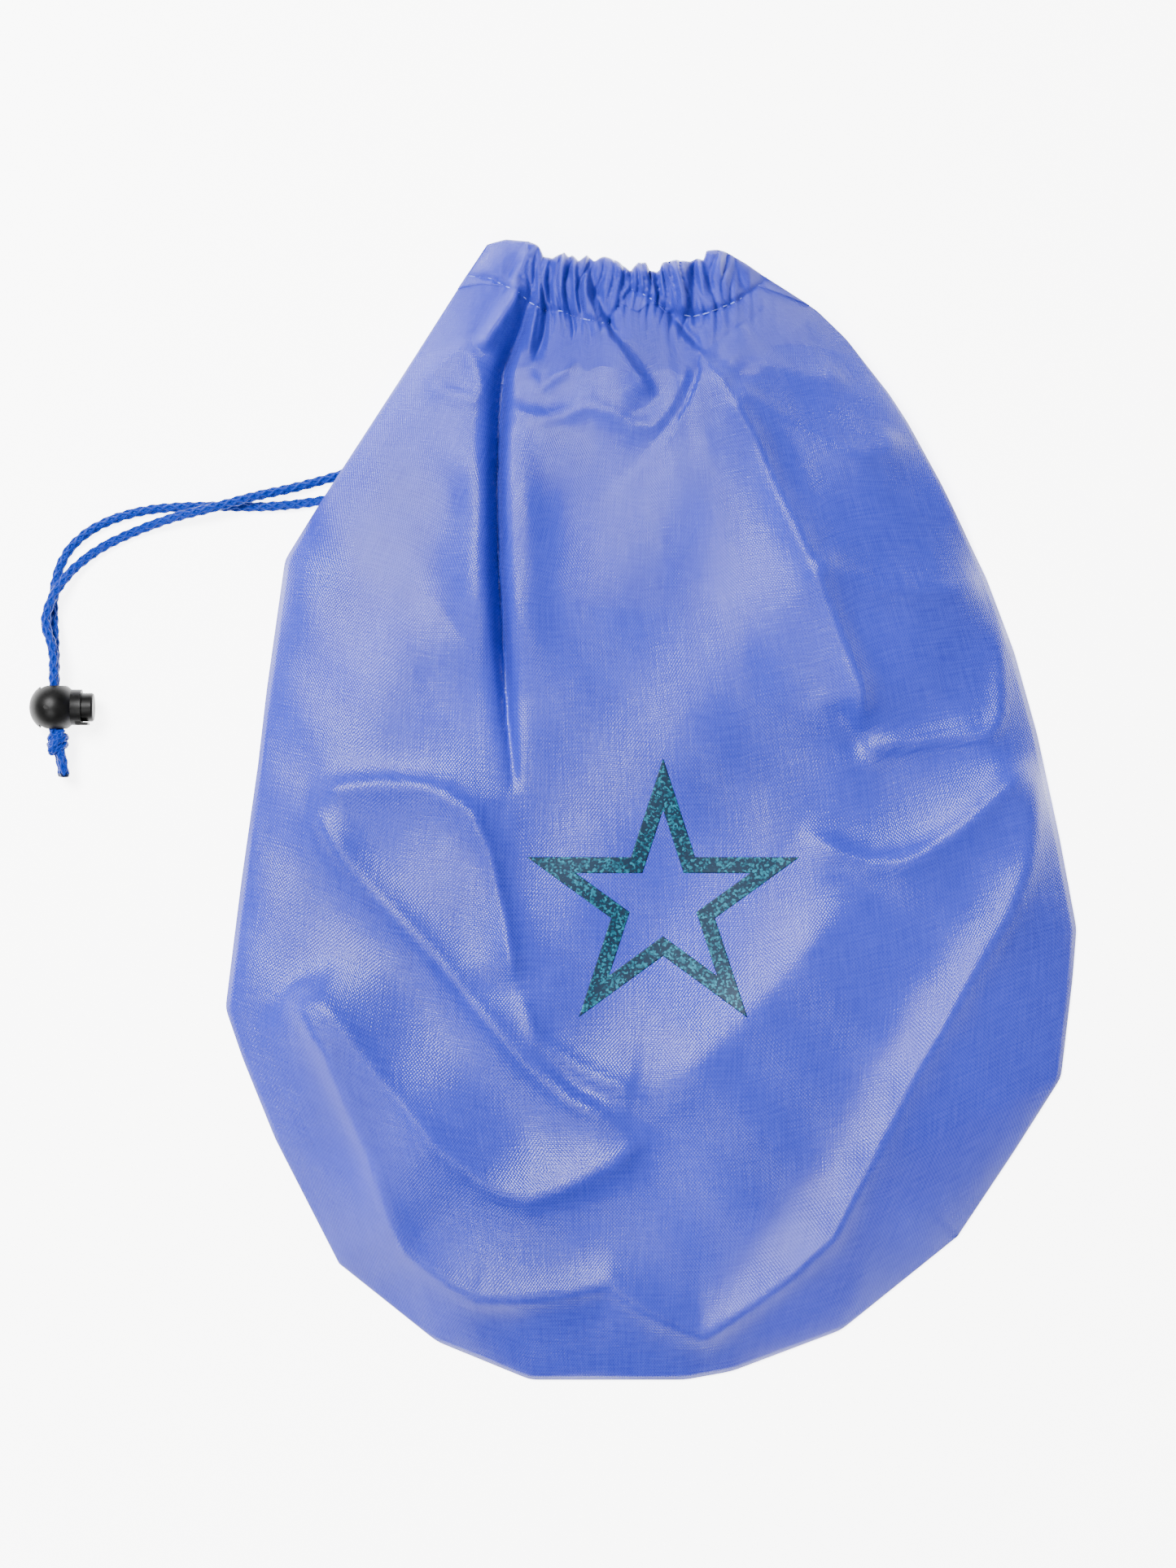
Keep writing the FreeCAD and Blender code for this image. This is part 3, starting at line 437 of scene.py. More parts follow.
# The cloth's threads are about 0.25 mm apart, so that its weave repeats every 0.5 mm. It is drawn at
# 1.1 mm, about twice as coarse, so that it shows.
# The taffeta's and the braid's bright colours are painted highlights, and the film's flake colour is a
# painted glint.
TAFFETA = Taffeta("periwinkle_taffeta", "#1E2494", 0.26, "#181D82", "#4650CC", 1.1)
CORD_BRAID = Braid("royal_braid", "#010848", 0.48, "#062C98")
CORD_END = Braid("heat_cut_cord", "#02051C", 0.35, "#050C30")
FILM = GlitterFilm("teal_glitter_film", "#011C30", 0.5, "#0F6478", 0.7)
ABS = MouldedPlastic("black_abs", "#020202", 0.4)
THREAD = SpunThread("periwinkle_thread", "#6673D2", 0.7)
WIRE = DrawnWire("spring_wire", "#C8C8C4", 0.3)


# ---------------------------------------------------------------- mesh helpers

def make_piece(name: str, bm: bmesh.types.BMesh, finish: Finish, body: str) -> bpy.types.Object:
    """Turns a bmesh to a finished piece that rides on a body.

    Args:
        name: The piece's name.
        bm: Its mesh, in metres in the frame; it is freed.
        finish: Its finish.
        body: The CAD body it moves with.

    Returns:
        The piece.
    """
    mesh = bpy.data.meshes.new(name)
    bm.to_mesh(mesh)
    bm.free()
    mesh.shade_smooth()
    mesh.materials.append(finish.material())
    piece = bpy.data.objects.new(name, mesh)
    bpy.context.scene.collection.objects.link(piece)
    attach(piece, body)
    return piece


def lengths_along(line: np.ndarray) -> np.ndarray:
    """How far along a line each of its points is."""
    return np.concatenate([[0], np.cumsum(np.linalg.norm(np.diff(line, axis=0), axis=1))])


def smooth_step(x: np.ndarray, start: float, stop: float) -> np.ndarray:
    """A smooth rise from 0 at start to 1 at stop."""
    t = np.clip((x - start) / (stop - start), 0, 1)
    return t * t * (3 - 2 * t)


def along(places: Places, shares: np.ndarray, softness: float) -> np.ndarray:
    """Places along a line of straight runs with softened corners.

    Args:
        places: The line's points in millimetres.
        shares: How far along the line each wanted place is, from 0 to 1.
        softness: The length over which a corner is rounded, in millimetres.

    Returns:
        One row of x and y for each share.
    """
    spacing = 0.5
    points = np.array(places, float)
    lengths = lengths_along(points)
    count = max(8, int(lengths[-1] / spacing))
    dense = np.linspace(0, lengths[-1], count)
    line = np.stack([np.interp(dense, lengths, points[:, k]) for k in (0, 1)], axis=1)
    window = max(1, int(softness / spacing)) | 1
    half = window // 2
    before, after = 2 * line[0] - line[half:0:-1], 2 * line[-1] - line[-2:-half - 2:-1]
    padded = np.concatenate([before, line, after])
    kernel = np.hanning(window + 2)[1:-1]
    kernel /= kernel.sum()
    even = np.linspace(0, 1, count)
    return np.stack([np.interp(shares, even, np.convolve(padded[:, k], kernel, "valid"))
                     for k in (0, 1)], axis=1)


def nearest_on(line: Places, x: np.ndarray,
               y: np.ndarray) -> tuple[np.ndarray, np.ndarray, np.ndarray]:
    """Finds the nearest point of a line for each place.

    Args:
        line: The line's points in millimetres.
        x: Places in millimetres.
        y: Places in millimetres.

    Returns:
        How far off that point is, on which side the place lies (1 for left of the line's
        direction, -1 for right) and how far along the line the point is.
    """
    points = np.array(line, float)
    nearest, side, way = np.full(x.shape, FAR), np.zeros(x.shape), np.zeros(x.shape)
    walked = 0.0
    for (ax, ay), (bx, by) in zip(points, points[1:]):
        step = math.hypot(bx - ax, by - ay)
        dx, dy = (bx - ax) / step, (by - ay) / step
        reach = np.clip((x - ax) * dx + (y - ay) * dy, 0, step)
        ox, oy = x - ax - reach * dx, y - ay - reach * dy
        distance = np.hypot(ox, oy)
        closer = distance < nearest
        across = (dx * oy - dy * ox) / np.maximum(distance, TINY)
        nearest = np.where(closer, distance, nearest)
        side = np.where(closer, across, side)
        way = np.where(closer, walked + reach, way)
        walked += step
    return nearest, side, way


# ---------------------------------------------------------------- shape of the cloth

@dataclass(frozen=True)
class Crease:
    """A ridge or a valley in the cloth along a line.

    Attributes:
        places: The line's points in millimetres.
        height: How far its crest stands up, or down where negative, in millimetres.
        left: How far it reaches to the left of its direction, in millimetres.
        right: How far it reaches to the right.
        crest: How round the crest is, in millimetres.
        fade: The length over which each end runs out, in millimetres.
    """

    places: Places
    height: float
    left: float
    right: float
    crest: float = 1.2
    fade: float = 14.0

    def lift(self, x: np.ndarray, y: np.ndarray) -> np.ndarray:
        """How much the crease lifts the cloth.

        Args:
            x: Places in millimetres.
            y: Places in millimetres.

        Returns:
            The lift at each place in millimetres.
        """
        nearest, side, way = nearest_on(self.places, x, y)
        total = lengths_along(np.array(self.places, float))[-1]
        width = self.left * (1 + side) / 2 + self.right * (1 - side) / 2
        ends = np.minimum(way, total - way) / max(self.fade, TINY)
        strength = smooth_step(ends, -0.25, 1.0)
        rounded = np.sqrt(nearest ** 2 + self.crest ** 2) - self.crest
        return self.height * strength * np.exp(-rounded / width)


@dataclass(frozen=True)
class BagShape:
    """The flat-laid bag as a surface: its outline, how it lies and where it is creased.

    Attributes:
        mouth, left, bottom, right: The outline's four sides.
        stitch_line: The row of stitches that closes the casing.
        loft: How high the front stands over its seam.
        lift_low, lift_high, lift_mouth: The seam's height on the floor and over the cords, and how
            much more it rises at the mouth.
        over_cords, to_mouth: Where up the bag the seam rises over the cords and to the mouth.
        tunnel: How far the casing bulges over the cord.
        fold_relief, gather_relief: How strong the creases of FOLDS and of GATHERS are.
    """

    mouth: Places = (
        (-57.5, 199), (-51, 200.5), (-43, 199.5), (-39.5, 198), (-37.5, 194), (-34.5, 193.5),
        (-30.5, 195.5), (-29, 193.5), (-27.5, 194.5), (-25.5, 192), (-22.5, 194.5), (-20, 192),
        (-17, 194), (-12, 192), (-7.5, 188.5), (-5, 191.5), (-2, 191.5), (-0.5, 188.5), (2.5, 188.5),
        (3.5, 191.5), (8.5, 192.5), (13.5, 192), (16, 193.5), (18, 192.5), (19, 196), (23, 196.5),
        (26.5, 195.5), (33, 192), (40, 187.5))
    left: Places = (
        (-110, -159), (-132.5, -115), (-144, -86.5), (-150, -69), (-144.5, -25), (-138.5, 17),
        (-135.5, 43), (-129, 89), (-64.5, 188.5), (-57.5, 199))
    bottom: Places = (
        (-110, -159), (-75.5, -186.5), (-42.5, -200), (12, -200), (28.5, -197), (67, -182.5),
        (108, -149.5))
    right: Places = (
        (108, -149.5), (128, -119.5), (144.5, -93.5), (148.5, -59.5), (150, -41), (144, -9), (136, 28),
        (128, 56.5), (118, 83), (101.5, 116), (90, 137), (83.5, 147), (68.5, 166), (58, 176),
        (40, 187.5))
    stitch_line: Places = (
        (-64.5, 188), (-56.5, 187), (-46, 181), (-39.5, 176), (-31.5, 175), (-24, 172), (-15.5, 170),
        (-11.5, 177), (-7, 182.5), (0, 179), (6.5, 174.5), (13, 173), (19, 174), (29.5, 178.5),
        (39.5, 186))
    loft: float = 12.5
    lift_low: float = 1.0
    lift_high: float = 7.0
    lift_mouth: float = 3.0
    over_cords: tuple[float, float] = (84.0, 112.0)
    to_mouth: tuple[float, float] = (150.0, 188.0)
    tunnel: float = 2.5
    fold_relief: float = 1.5
    gather_relief: float = 1.35

    def place(self, s: np.ndarray, t: np.ndarray) -> tuple[np.ndarray, np.ndarray]:
        """Where a point of the flat cloth lies, seen from above.

        Args:
            s: Its share of the way across, from left to right.
            t: Its share of the way up, from the bottom to the mouth.

        Returns:
            Its x and y in millimetres.
        """
        side_corner, bottom_corner, mouth_corner = 7.0, 9.0, 1.6
        low, high = along(self.bottom, s, bottom_corner), along(self.mouth, s, mouth_corner)
        west, east = along(self.left, t, side_corner), along(self.right, t, side_corner)
        s, t = s[:, None], t[:, None]
        corners = ((1 - s) * (1 - t) * np.array(self.bottom[0])
                   + s * (1 - t) * np.array(self.bottom[-1])
                   + (1 - s) * t * np.array(self.mouth[0]) + s * t * np.array(self.mouth[-1]))
        spot = (1 - t) * low + t * high + (1 - s) * west + s * east - corners
        return spot[:, 0], spot[:, 1]

    def inward(self, x: np.ndarray, y: np.ndarray) -> np.ndarray:
        """How far each place is from the sides and the bottom.

        Args:
            x: Places in millimetres.
            y: Places in millimetres.

        Returns:
            The distance of each place in millimetres.
        """
        return np.min([nearest_on(side, x, y)[0] for side in (self.left, self.bottom, self.right)],
                      axis=0)

    def edge(self, y: np.ndarray) -> np.ndarray:
        """Height of the side seam: on the floor, raised over the cords, and higher at the mouth.

        Args:
            y: Places up the bag in millimetres.

        Returns:
            The seam's height at each place in millimetres.
        """
        raised = (self.lift_high - self.lift_low) * smooth_step(y, *self.over_cords)
        return self.lift_low + raised + self.lift_mouth * smooth_step(y, *self.to_mouth)

    def casing_share(self, x: np.ndarray, y: np.ndarray) -> tuple[np.ndarray, np.ndarray]:
        """How far across the casing each place is, and how deep the casing is there.

        Args:
            x: Places in millimetres.
            y: Places in millimetres.

        Returns:
            The share, 0 at the stitch line and 1 at the mouth's edge, and the depth in millimetres.
        """
        stitched, mouth = np.array(self.stitch_line), np.array(self.mouth)
        low = np.interp(x, stitched[:, 0], stitched[:, 1])
        high = np.interp(x, mouth[:, 0], mouth[:, 1])
        depth = np.maximum(high - low, 0.5)
        return (y - low) / depth, depth

    def tunnel_lift(self, x: np.ndarray, y: np.ndarray) -> np.ndarray:
        """How far the casing bulges from its own middle over the cord.

        Args:
            x: Places in millimetres.
            y: Places in millimetres.

        Returns:
            The bulge at each place in millimetres.
        """
        seam_reach, full_depth = 4.0, 9.0
        share, depth = self.casing_share(x, y)
        share = np.clip(share, 0, 1)
        bulge = np.sqrt(np.clip(1 - (2 * share - 1) ** 2, 0, 1))
        sides = 1 - np.exp(-self.inward(x, y) / seam_reach)
        return self.tunnel * bulge * sides * np.clip(depth / full_depth, 0, 1)

    def domed(self, y: np.ndarray, inward: np.ndarray) -> np.ndarray:
        """Height of the front with no creases: a dome on the seam's own height.

        Args:
            y: Places up the bag in millimetres.
            inward: How far each is from the seam in millimetres.

        Returns:
            The height at each place in millimetres.
        """
        # The dome rises fast at the seam for a small share, and slowly for the rest.
        shoulder, fast, slow = 0.07, 5.0, 36.0
        dome = self.loft * (shoulder * (1 - np.exp(-inward / fast))
                            + (1 - shoulder) * (1 - np.exp(-inward / slow)))
        # The cloth slopes evenly up to the mouth, and only its rim follows the seam's steps.
        foot, head, rim = -60.0, 190.0, 9.0
        slope = self.lift_low + (self.lift_high + self.lift_mouth - self.lift_low) * smooth_step(
            y, foot, head)
        return slope + (self.edge(y) - slope) * np.exp(-inward / rim) + dome

    def sewn(self, x: np.ndarray, y: np.ndarray, inward: np.ndarray,
             held: np.ndarray) -> np.ndarray:
        """Relief of the casing: the groove and puckers of its stitches and the drawn-up pleats.

        Args:
            x: Places in millimetres.
            y: Places in millimetres.
            inward: How far each is from the seam in millimetres.
            held: The share of relief that the seam lets each have.

        Returns:
            The relief at each place in millimetres.
        """
        share, depth = self.casing_share(x, y)
        off_row = share * depth
        near = np.exp(-np.abs(share) * depth / 7) * smooth_step(inward, 2, 12)
        pucker = np.sin(x * 1.55 + 0.6 * np.sin(x / 3)) * 0.55 + np.sin(x * 2.4 + 1) * 0.25
        groove_depth, groove_width = -0.9, 1.3
        groove = groove_depth * np.exp(-(off_row / groove_width) ** 2)
        # Pleats of uneven width: sharp valleys between round crests.
        valley, crest = -2.0, 0.5
        turn = x / 3.3 + 0.8 * np.sin(x / 6.1 + 0.5) + 0.35 * np.sin(y / 4.3 + x / 9)
        swing = np.abs(np.sin(math.pi * turn))
        pleats = valley * (1 - swing) ** 2.5 + crest * swing
        # They run out below the stitches, and where the mouth's ends lie flat.
        below = 5.0
        drawn = np.where(share > 0, 1.0, np.exp(off_row / below))
        drawn = drawn * smooth_step(x, -47, -40) * (1 - smooth_step(x, 24, 32))
        relief = (pucker * near + groove * held) + pleats * drawn * held
        return relief * smooth_step(y, 150, 172)

    def front(self, x: np.ndarray, y: np.ndarray) -> np.ndarray:
        """Height of the front of the bag, without the casing's bulge.

        Args:
            x: Places in millimetres.
            y: Places in millimetres.

        Returns:
            The height at each place in millimetres.
        """
        seam_hold = 6.0
        inward = self.inward(x, y)
        held = 1 - np.exp(-inward / seam_hold)
        height = self.domed(y, inward)
        for creases, relief in ((FOLDS, self.fold_relief), (GATHERS, self.gather_relief)):
            for crease in creases:
                height = height + relief * crease.lift(x, y) * held
        # Slow hollows and swells between the creases.
        swell = (0.9 * np.sin(x / 17 + 0.8) * np.sin(y / 23 + 0.4)
                 + 0.5 * np.sin(x / 9 - y / 14 + 2.1) + 0.25 * np.sin(x / 5.3 + y / 6.1))
        return height + swell * held + self.sewn(x, y, inward, held)

    def back(self, x: np.ndarray, y: np.ndarray) -> np.ndarray:
        """Height of the back of the bag: flat on the floor, raised over the cords.

        Args:
            x: Places in millimetres.
            y: Places in millimetres.

        Returns:
            The height at each place in millimetres.
        """
        on_floor, over_cords, at_mouth, below_seam = 0.45, 5.2, 2.8, 0.5
        level = (on_floor + over_cords * smooth_step(y, 84, 104)
                 + at_mouth * smooth_step(y, 172, 188))
        inward = self.inward(x, y)
        swell_depth, swell_hold, seam_reach = 0.25, 8.0, 5.0
        swell = (swell_depth * (1 + np.sin(x / 11 + 1) * np.sin(y / 13))
                 * (1 - np.exp(-inward / swell_hold)))
        seam = np.exp(-inward / seam_reach)
        return level + swell + (self.edge(y) - below_seam - level) * seam


class Fold(Enum):
    """How a crease lies, as its height, its reach on each side and the roundness of its crest."""

    RIM = (1.5, 3.0, 3.0, 0.6)
    SOFT = (2.2, 7.0, 7.0, 0.9)
    PLEAT = (1.9, 1.7, 1.7, 0.6)
    TUCK = (-2.3, 1.5, 1.5, 0.6)
    DIMPLE = (-1.8, 7.0, 7.0, 3.0)


def fold(kind: Fold, *places: tuple[float, float], scale: float = 1.0, fade: float = 6.0) -> Crease:
    """A crease of a kind.

    Args:
        kind: How it lies.
        places: Its line's points in millimetres.
        scale: Share of the kind's height.
        fade: The length over which each end runs out, in millimetres.

    Returns:
        The crease.
    """
    height, left, right, crest = kind.value
    return Crease(places, height * scale, left, right, crest, fade)


# Creases of the front panel, from the gathers down.
FOLDS = (
    # The deep fold that drops from the gathers, left of the middle.
    Crease(((-39, 194), (-41, 186), (-42.5, 179), (-46.5, 167.5), (-52, 154.5), (-53.5, 137.5),
            (-54, 114.5), (-53.5, 85.5), (-52, 60), (-50.5, 34), (-48, 11)), -10.5, 1.5, 2.2, 0.4, 70),
    Crease(((-60, 150), (-61, 120), (-60, 85), (-57, 50)), 3.0, 16, 8, 5, 30),
    Crease(((-46, 140), (-45, 110), (-43, 75), (-42, 40)), 3.0, 8, 18, 5, 30),
    # The long ridge that runs down the right half.
    Crease(((13, 156), (16.5, 160), (24.5, 149), (36, 129.5), (43.5, 111.5), (53.5, 91), (63.5, 67),
            (72.5, 44), (72.5, 24)), 5.5, 9, 15, 0.8, 18),
    # Thin rims below the gathers.
    fold(Fold.RIM, (-51.5, 141.5), (-46, 139), (-37.5, 137), (-28.5, 139.5), (-21.5, 142), (-14.5, 139),
         (-7, 134.5), (0, 134.5), (5.5, 140), (11, 151.5), (13, 156)),
    fold(Fold.RIM, (-43.5, 154.5), (-39.5, 148), (-31.5, 153), (-26, 157.5)),
    fold(Fold.RIM, (-79.5, 150), (-72.5, 157.5), (-65, 163), (-60.5, 153), (-57.5, 143)),
    fold(Fold.RIM, (-79.5, 150), (-69, 145.5), (-57.5, 142.5)),
    # Left apex and the two creases that leave it.
    Crease(((-120.5, 6.5), (-106, 9), (-93.5, 10), (-80.5, 9), (-72.5, 6.5), (-62.5, -0.5),
            (-56.5, -13.5), (-51, -38), (-47.5, -61)), 3.6, 5, 12, 0.7, 12),
    Crease(((-120.5, 6.5), (-114.5, -4.5), (-106, -17.5), (-97.5, -27.5), (-75, -50), (-62.5, -66),
            (-44, -87), (-28.5, -100.5), (-9, -109), (-2, -108.5)), 3.6, 10, 6, 0.7, 22),
    fold(Fold.RIM, (-47.5, -61), (-39.5, -80), (-24, -90), (-9, -97), (0, -105), scale=1.2, fade=16),
    fold(Fold.TUCK, (-42, -81), (-26, -95), (-8, -103), scale=0.5, fade=16),
    # The broad band that rises from the meeting of the creases to the right.
    Crease(((-1.5, -108), (11, -94), (28, -78), (51.5, -52), (72, -25)), 4.0, 13, 16, 6, 26),
    # The pillow's inner rim and outer rim round the bottom.
    Crease(((-1.5, -108), (-3, -114), (-13, -122), (-32, -131.5), (-43.5, -134.5), (-52.5, -132.5),
            (-59, -129.5), (-75.5, -116.5), (-86.5, -102), (-95.5, -92), (-106, -78), (-115.5, -66.5),
            (-127.5, -60.5)), 4.0, 7, 13, 0.8, 20),
    Crease(((-127.5, -60.5), (-113.5, -83), (-105.5, -102.5), (-98.5, -118.5), (-90, -145),
            (-85.5, -153.5), (-71, -164.5), (-61, -170), (-48, -170), (-30, -168), (-15, -164.5),
            (-1, -174.5), (13, -181.5), (19, -183.5), (33.5, -173.5), (48, -162.5), (63.5, -148.5),
            (73.5, -128.5), (82.5, -111), (91.5, -92.5), (102.5, -74), (113.5, -54), (124.5, -36.5),
            (132, -19), (135, 1), (136.5, 20.5)), 4.6, 13, 9, 0.9, 14),
    # Right side: the apex's crease, the fold above it and the pocket between them.
    Crease(((136.5, 20.5), (124.5, 9.5), (109, -4.5), (94.5, -14.5), (87, -17.5), (76, -17.5),
            (65, -14), (51, -5.5)), 3.4, 10, 5, 0.7, 18),
    fold(Fold.RIM, (72.5, 23), (92.5, 24.5), (109, 26.5), (117.5, 27), (122, 32.5), (123, 39.5),
         (123, 68.5), scale=1.3),
    Crease(((62, 40), (70.5, 27), (74, 18)), -1.8, 7, 4, 1.5, 8),
    # Curved folds of the upper right.
    fold(Fold.SOFT, (23, 160.5), (39.5, 156.5), (50.5, 152.5), (61.5, 151), (67, 156.5), scale=0.8),
    fold(Fold.SOFT, (28.5, 149), (39.5, 141), (50.5, 134.5), (61.5, 128), (72.5, 124.5), (82.5, 127.5),
         (86, 134.5)),
    fold(Fold.SOFT, (56.5, 89.5), (61.5, 85), (78, 78.5), (94.5, 77.5), (107.5, 77.5), (118, 82.5)),
    fold(Fold.DIMPLE, (-73, 64), (-67.5, 68.5), fade=12),
    fold(Fold.DIMPLE, (-82, 45), (-76, 48.5), fade=12),
)

# Pleats (crests) and tucks (between them) of the casing and just below it, from left to right.
GATHERS = (
    fold(Fold.TUCK, (-46, 196), (-51, 186), (-53, 177), scale=0.8),
    fold(Fold.PLEAT, (-41.5, 199), (-46, 189), (-50, 180)),
    Crease(((-44, 186), (-50, 176), (-56, 167.5), (-60, 161)), 4.6, 3.2, 3.2, 1.6, 5),
    fold(Fold.TUCK, (-54, 182), (-58.5, 173), (-64, 163), scale=0.7),
    fold(Fold.PLEAT, (-37.5, 191), (-39.5, 180.5), (-41, 172), (-43, 160), scale=1.2),
    fold(Fold.TUCK, (-34.5, 193), (-36, 178), (-37.5, 167), (-41, 157), scale=1.3),
    fold(Fold.PLEAT, (-30.5, 196), (-31.5, 187.5), (-32, 177.5)),
    fold(Fold.TUCK, (-29, 194), (-28.5, 184.5), (-28, 173), (-26.5, 165)),
    fold(Fold.PLEAT, (-27.5, 195), (-27, 186), (-26.5, 178)),
    fold(Fold.TUCK, (-25.5, 193), (-25.2, 182), (-24, 171)),
    Crease(((-22.5, 195), (-23.5, 187.5), (-23, 179), (-15, 166), (-7, 154.5), (1, 144)),
           3.2, 2.2, 7, 0.8, 8),
    fold(Fold.TUCK, (-20.3, 193), (-21, 187), (-18.5, 179), (-14.5, 170), (-10, 163), scale=1.3),
    fold(Fold.PLEAT, (-16.5, 194), (-11.5, 189.5), (-7, 185), scale=1.2),
    fold(Fold.TUCK, (-7, 189), (-9, 184.5), (-12.5, 179), scale=0.9),
    fold(Fold.PLEAT, (-3.5, 192), (-2, 184)),
    fold(Fold.TUCK, (0.5, 189), (1.5, 184), (4, 178), (10, 170.5), (18.5, 160.5), scale=1.2),
    fold(Fold.TUCK, (5, 189), (6.5, 180.5), (7.5, 173)),
    fold(Fold.PLEAT, (8.5, 193), (10, 186), (11.3, 179), (11, 171), scale=1.3),
    fold(Fold.TUCK, (14.8, 193), (14.3, 183), (14.5, 176), (16, 169), scale=1.4),
    fold(Fold.PLEAT, (16.5, 194), (17.5, 187.5), (18.5, 181)),
    fold(Fold.TUCK, (19, 195), (19, 187.5), (22.5, 180)),
    fold(Fold.PLEAT, (23, 197), (23.5, 189), (26, 182), scale=1.2),
    fold(Fold.TUCK, (29, 193), (31, 186), (35, 181), scale=0.6),
)


@dataclass
class Cloth:
    """The two panels of the bag, each one sheet from the bottom to its hem inside the casing.

    Attributes:
        shape: The laid bag's shape.
        flat_width, flat_length: Size of a panel before it is gathered, in metres.
        flat_area: Its area in square metres, without the rounded-off corners.
        thickness: The cloth's, in metres.
        casing_from: The share of the laid length at which the casing's finer rows begin.
        hem_to: The share to which the hem comes back down inside.
        floor: The least height of the cloth in millimetres.
    """

    shape: BagShape
    flat_width: float = 0.302
    flat_length: float = 0.428
    flat_area: float = 0.1
    thickness: float = 0.00022
    casing_from: float = 0.885
    hem_to: float = 0.952
    floor: float = 0.3

    def spread(self, shares: np.ndarray) -> np.ndarray:
        """Sets the columns closer where the gathers and the deep fold need them.

        Args:
            shares: Evenly spread shares of the width.

        Returns:
            The share of the width at which each lies.
        """
        even = np.linspace(0, 1, 801)
        at_fold = 1.5 * np.exp(-((even - 0.28) / 0.08) ** 2)
        at_gathers = 0.6 * np.exp(-((even - 0.55) / 0.25) ** 2)
        closeness = 1 + at_fold + at_gathers
        gone = np.concatenate([[0], np.cumsum((closeness[1:] + closeness[:-1]) / 2)])
        return np.interp(np.clip(shares, 0, 1), gone / gone[-1], even)

    def sheet(self, name: str, columns: int, body_rows: int, casing_rows: int, hem_rows: int,
              front: bool) -> bpy.types.Object:
        """Makes one panel.

        Args:
            name: The piece's name.
            columns: Faces across.
            body_rows: Faces up to just below the casing.
            casing_rows: Faces from there to the mouth's edge.
            hem_rows: Faces from the edge back down inside.
            front: Whether it is the front panel.

        Returns:
            The panel.
        """
        rows = body_rows + casing_rows + hem_rows
        up = np.concatenate([
            np.linspace(0, self.casing_from, body_rows + 1),
            np.linspace(self.casing_from, 1, casing_rows + 1)[1:],
            np.linspace(1, self.hem_to, hem_rows + 1)[1:]])
        bm = bmesh.new()
        bm.loops.layers.uv.new("threads")
        bmesh.ops.create_grid(bm, x_segments=columns, y_segments=rows, size=0.5, calc_uvs=True)
        if not front:
            bmesh.ops.reverse_faces(bm, faces=bm.faces)
        piece = make_piece(name, bm, TAFFETA, "bag")
        mesh = piece.data
        grid = np.zeros(len(mesh.vertices) * 3, np.float32)
        mesh.vertices.foreach_get("co", grid)
        grid = grid.reshape(-1, 3)
        s = self.spread(grid[:, 0] + 0.5)
        row = np.rint((grid[:, 1] + 0.5) * rows).astype(int)
        x, y = self.shape.place(s, up[row])
        hem = row > body_rows + casing_rows
        bulge = np.where(hem, -1.0, 1.0) * self.shape.tunnel_lift(x, y)
        z = self.shape.front(x, y) + bulge if front else self.shape.back(x, y) - bulge
        laid = np.stack([x, y, np.maximum(z, self.floor)], axis=1) * MM
        mesh.vertices.foreach_set("co", laid.astype(np.float32).ravel())
        flat = np.stack([s * self.flat_width, row / rows * self.flat_length], axis=1)
        corner = np.zeros(len(mesh.loops), np.int32)
        mesh.loops.foreach_get("vertex_index", corner)
        threads = mesh.uv_layers["threads"].data
        threads.foreach_set("uv", flat[corner].astype(np.float32).ravel())
        mesh.update()
        wall = piece.modifiers.new("thickness", "SOLIDIFY")
        wall.thickness = self.thickness
        wall.offset = -1
        return piece

    def build(self) -> tuple[bpy.types.Object, bpy.types.Object]:
        """Returns:
            The front and the back.
        """
        front = self.sheet("front_cloth", 176, 168, 62, 16, True)
        back = self.sheet("back_cloth", 90, 110, 34, 12, False)
        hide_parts("front_panel", "front_casing")
        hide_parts("back_panel", "back_casing", "seam_allowance", "seam_thread")
        return front, back


# ---------------------------------------------------------------- sewing and print

@dataclass
class CasingStitches:
    """One row of stitches along the casing, following the gathered cloth.

    Attributes:
        shape: The laid bag's shape.
        pitch: From one stitch to the next, in millimetres.
        length: From hole to hole of one stitch.
        width: The thread's width as it lies pressed flat.
        lift: How far its middle stands off the cloth.
        sunk: How far each end goes past its hole.
        flatness: How many times wider than high the thread lies.
    """

    shape: BagShape
    pitch: float = 3.4
    length: float = 2.3
    width: float = 0.42
    lift: float = 0.12
    sunk: float = 0.3
    flatness: float = 1.2

    def build(self) -> bpy.types.Object:
        """Makes the row on the front.

        Returns:
            The stitches as one piece.
        """
        row, rounding = self.shape.stitch_line, 2.0
        total = lengths_along(np.array(row, float))[-1]
        count = int(total / self.pitch)
        middles = (np.arange(count) + 0.5) * self.pitch / total
        half = self.length / 2 / total
        ends = [along(row, middles + side * half, rounding) for side in (-1, 1)]
        heights = [self.shape.front(*end.T) + self.shape.tunnel_lift(*end.T) + self.lift
                   for end in ends]
        bm = bmesh.new()
        for number in range(count):
            first, last = (Vector((*ends[k][number], heights[k][number])) for k in (0, 1))
            run = last - first
            turned = (Matrix.Translation((first + last) / 2)
                      @ run.to_track_quat("X", "Z").to_matrix().to_4x4())
            half_sizes = (run.length / 2 + self.sunk, self.width / 2, self.width / 2 / self.flatness)
            bmesh.ops.create_uvsphere(
                bm, u_segments=8, v_segments=6, radius=1,
                matrix=Matrix.Scale(MM, 4) @ turned @ Matrix.Diagonal((*half_sizes, 1)))
        piece = make_piece("casing_stitches", bm, THREAD, "bag")
        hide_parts("front_casing_stitches")
        return piece


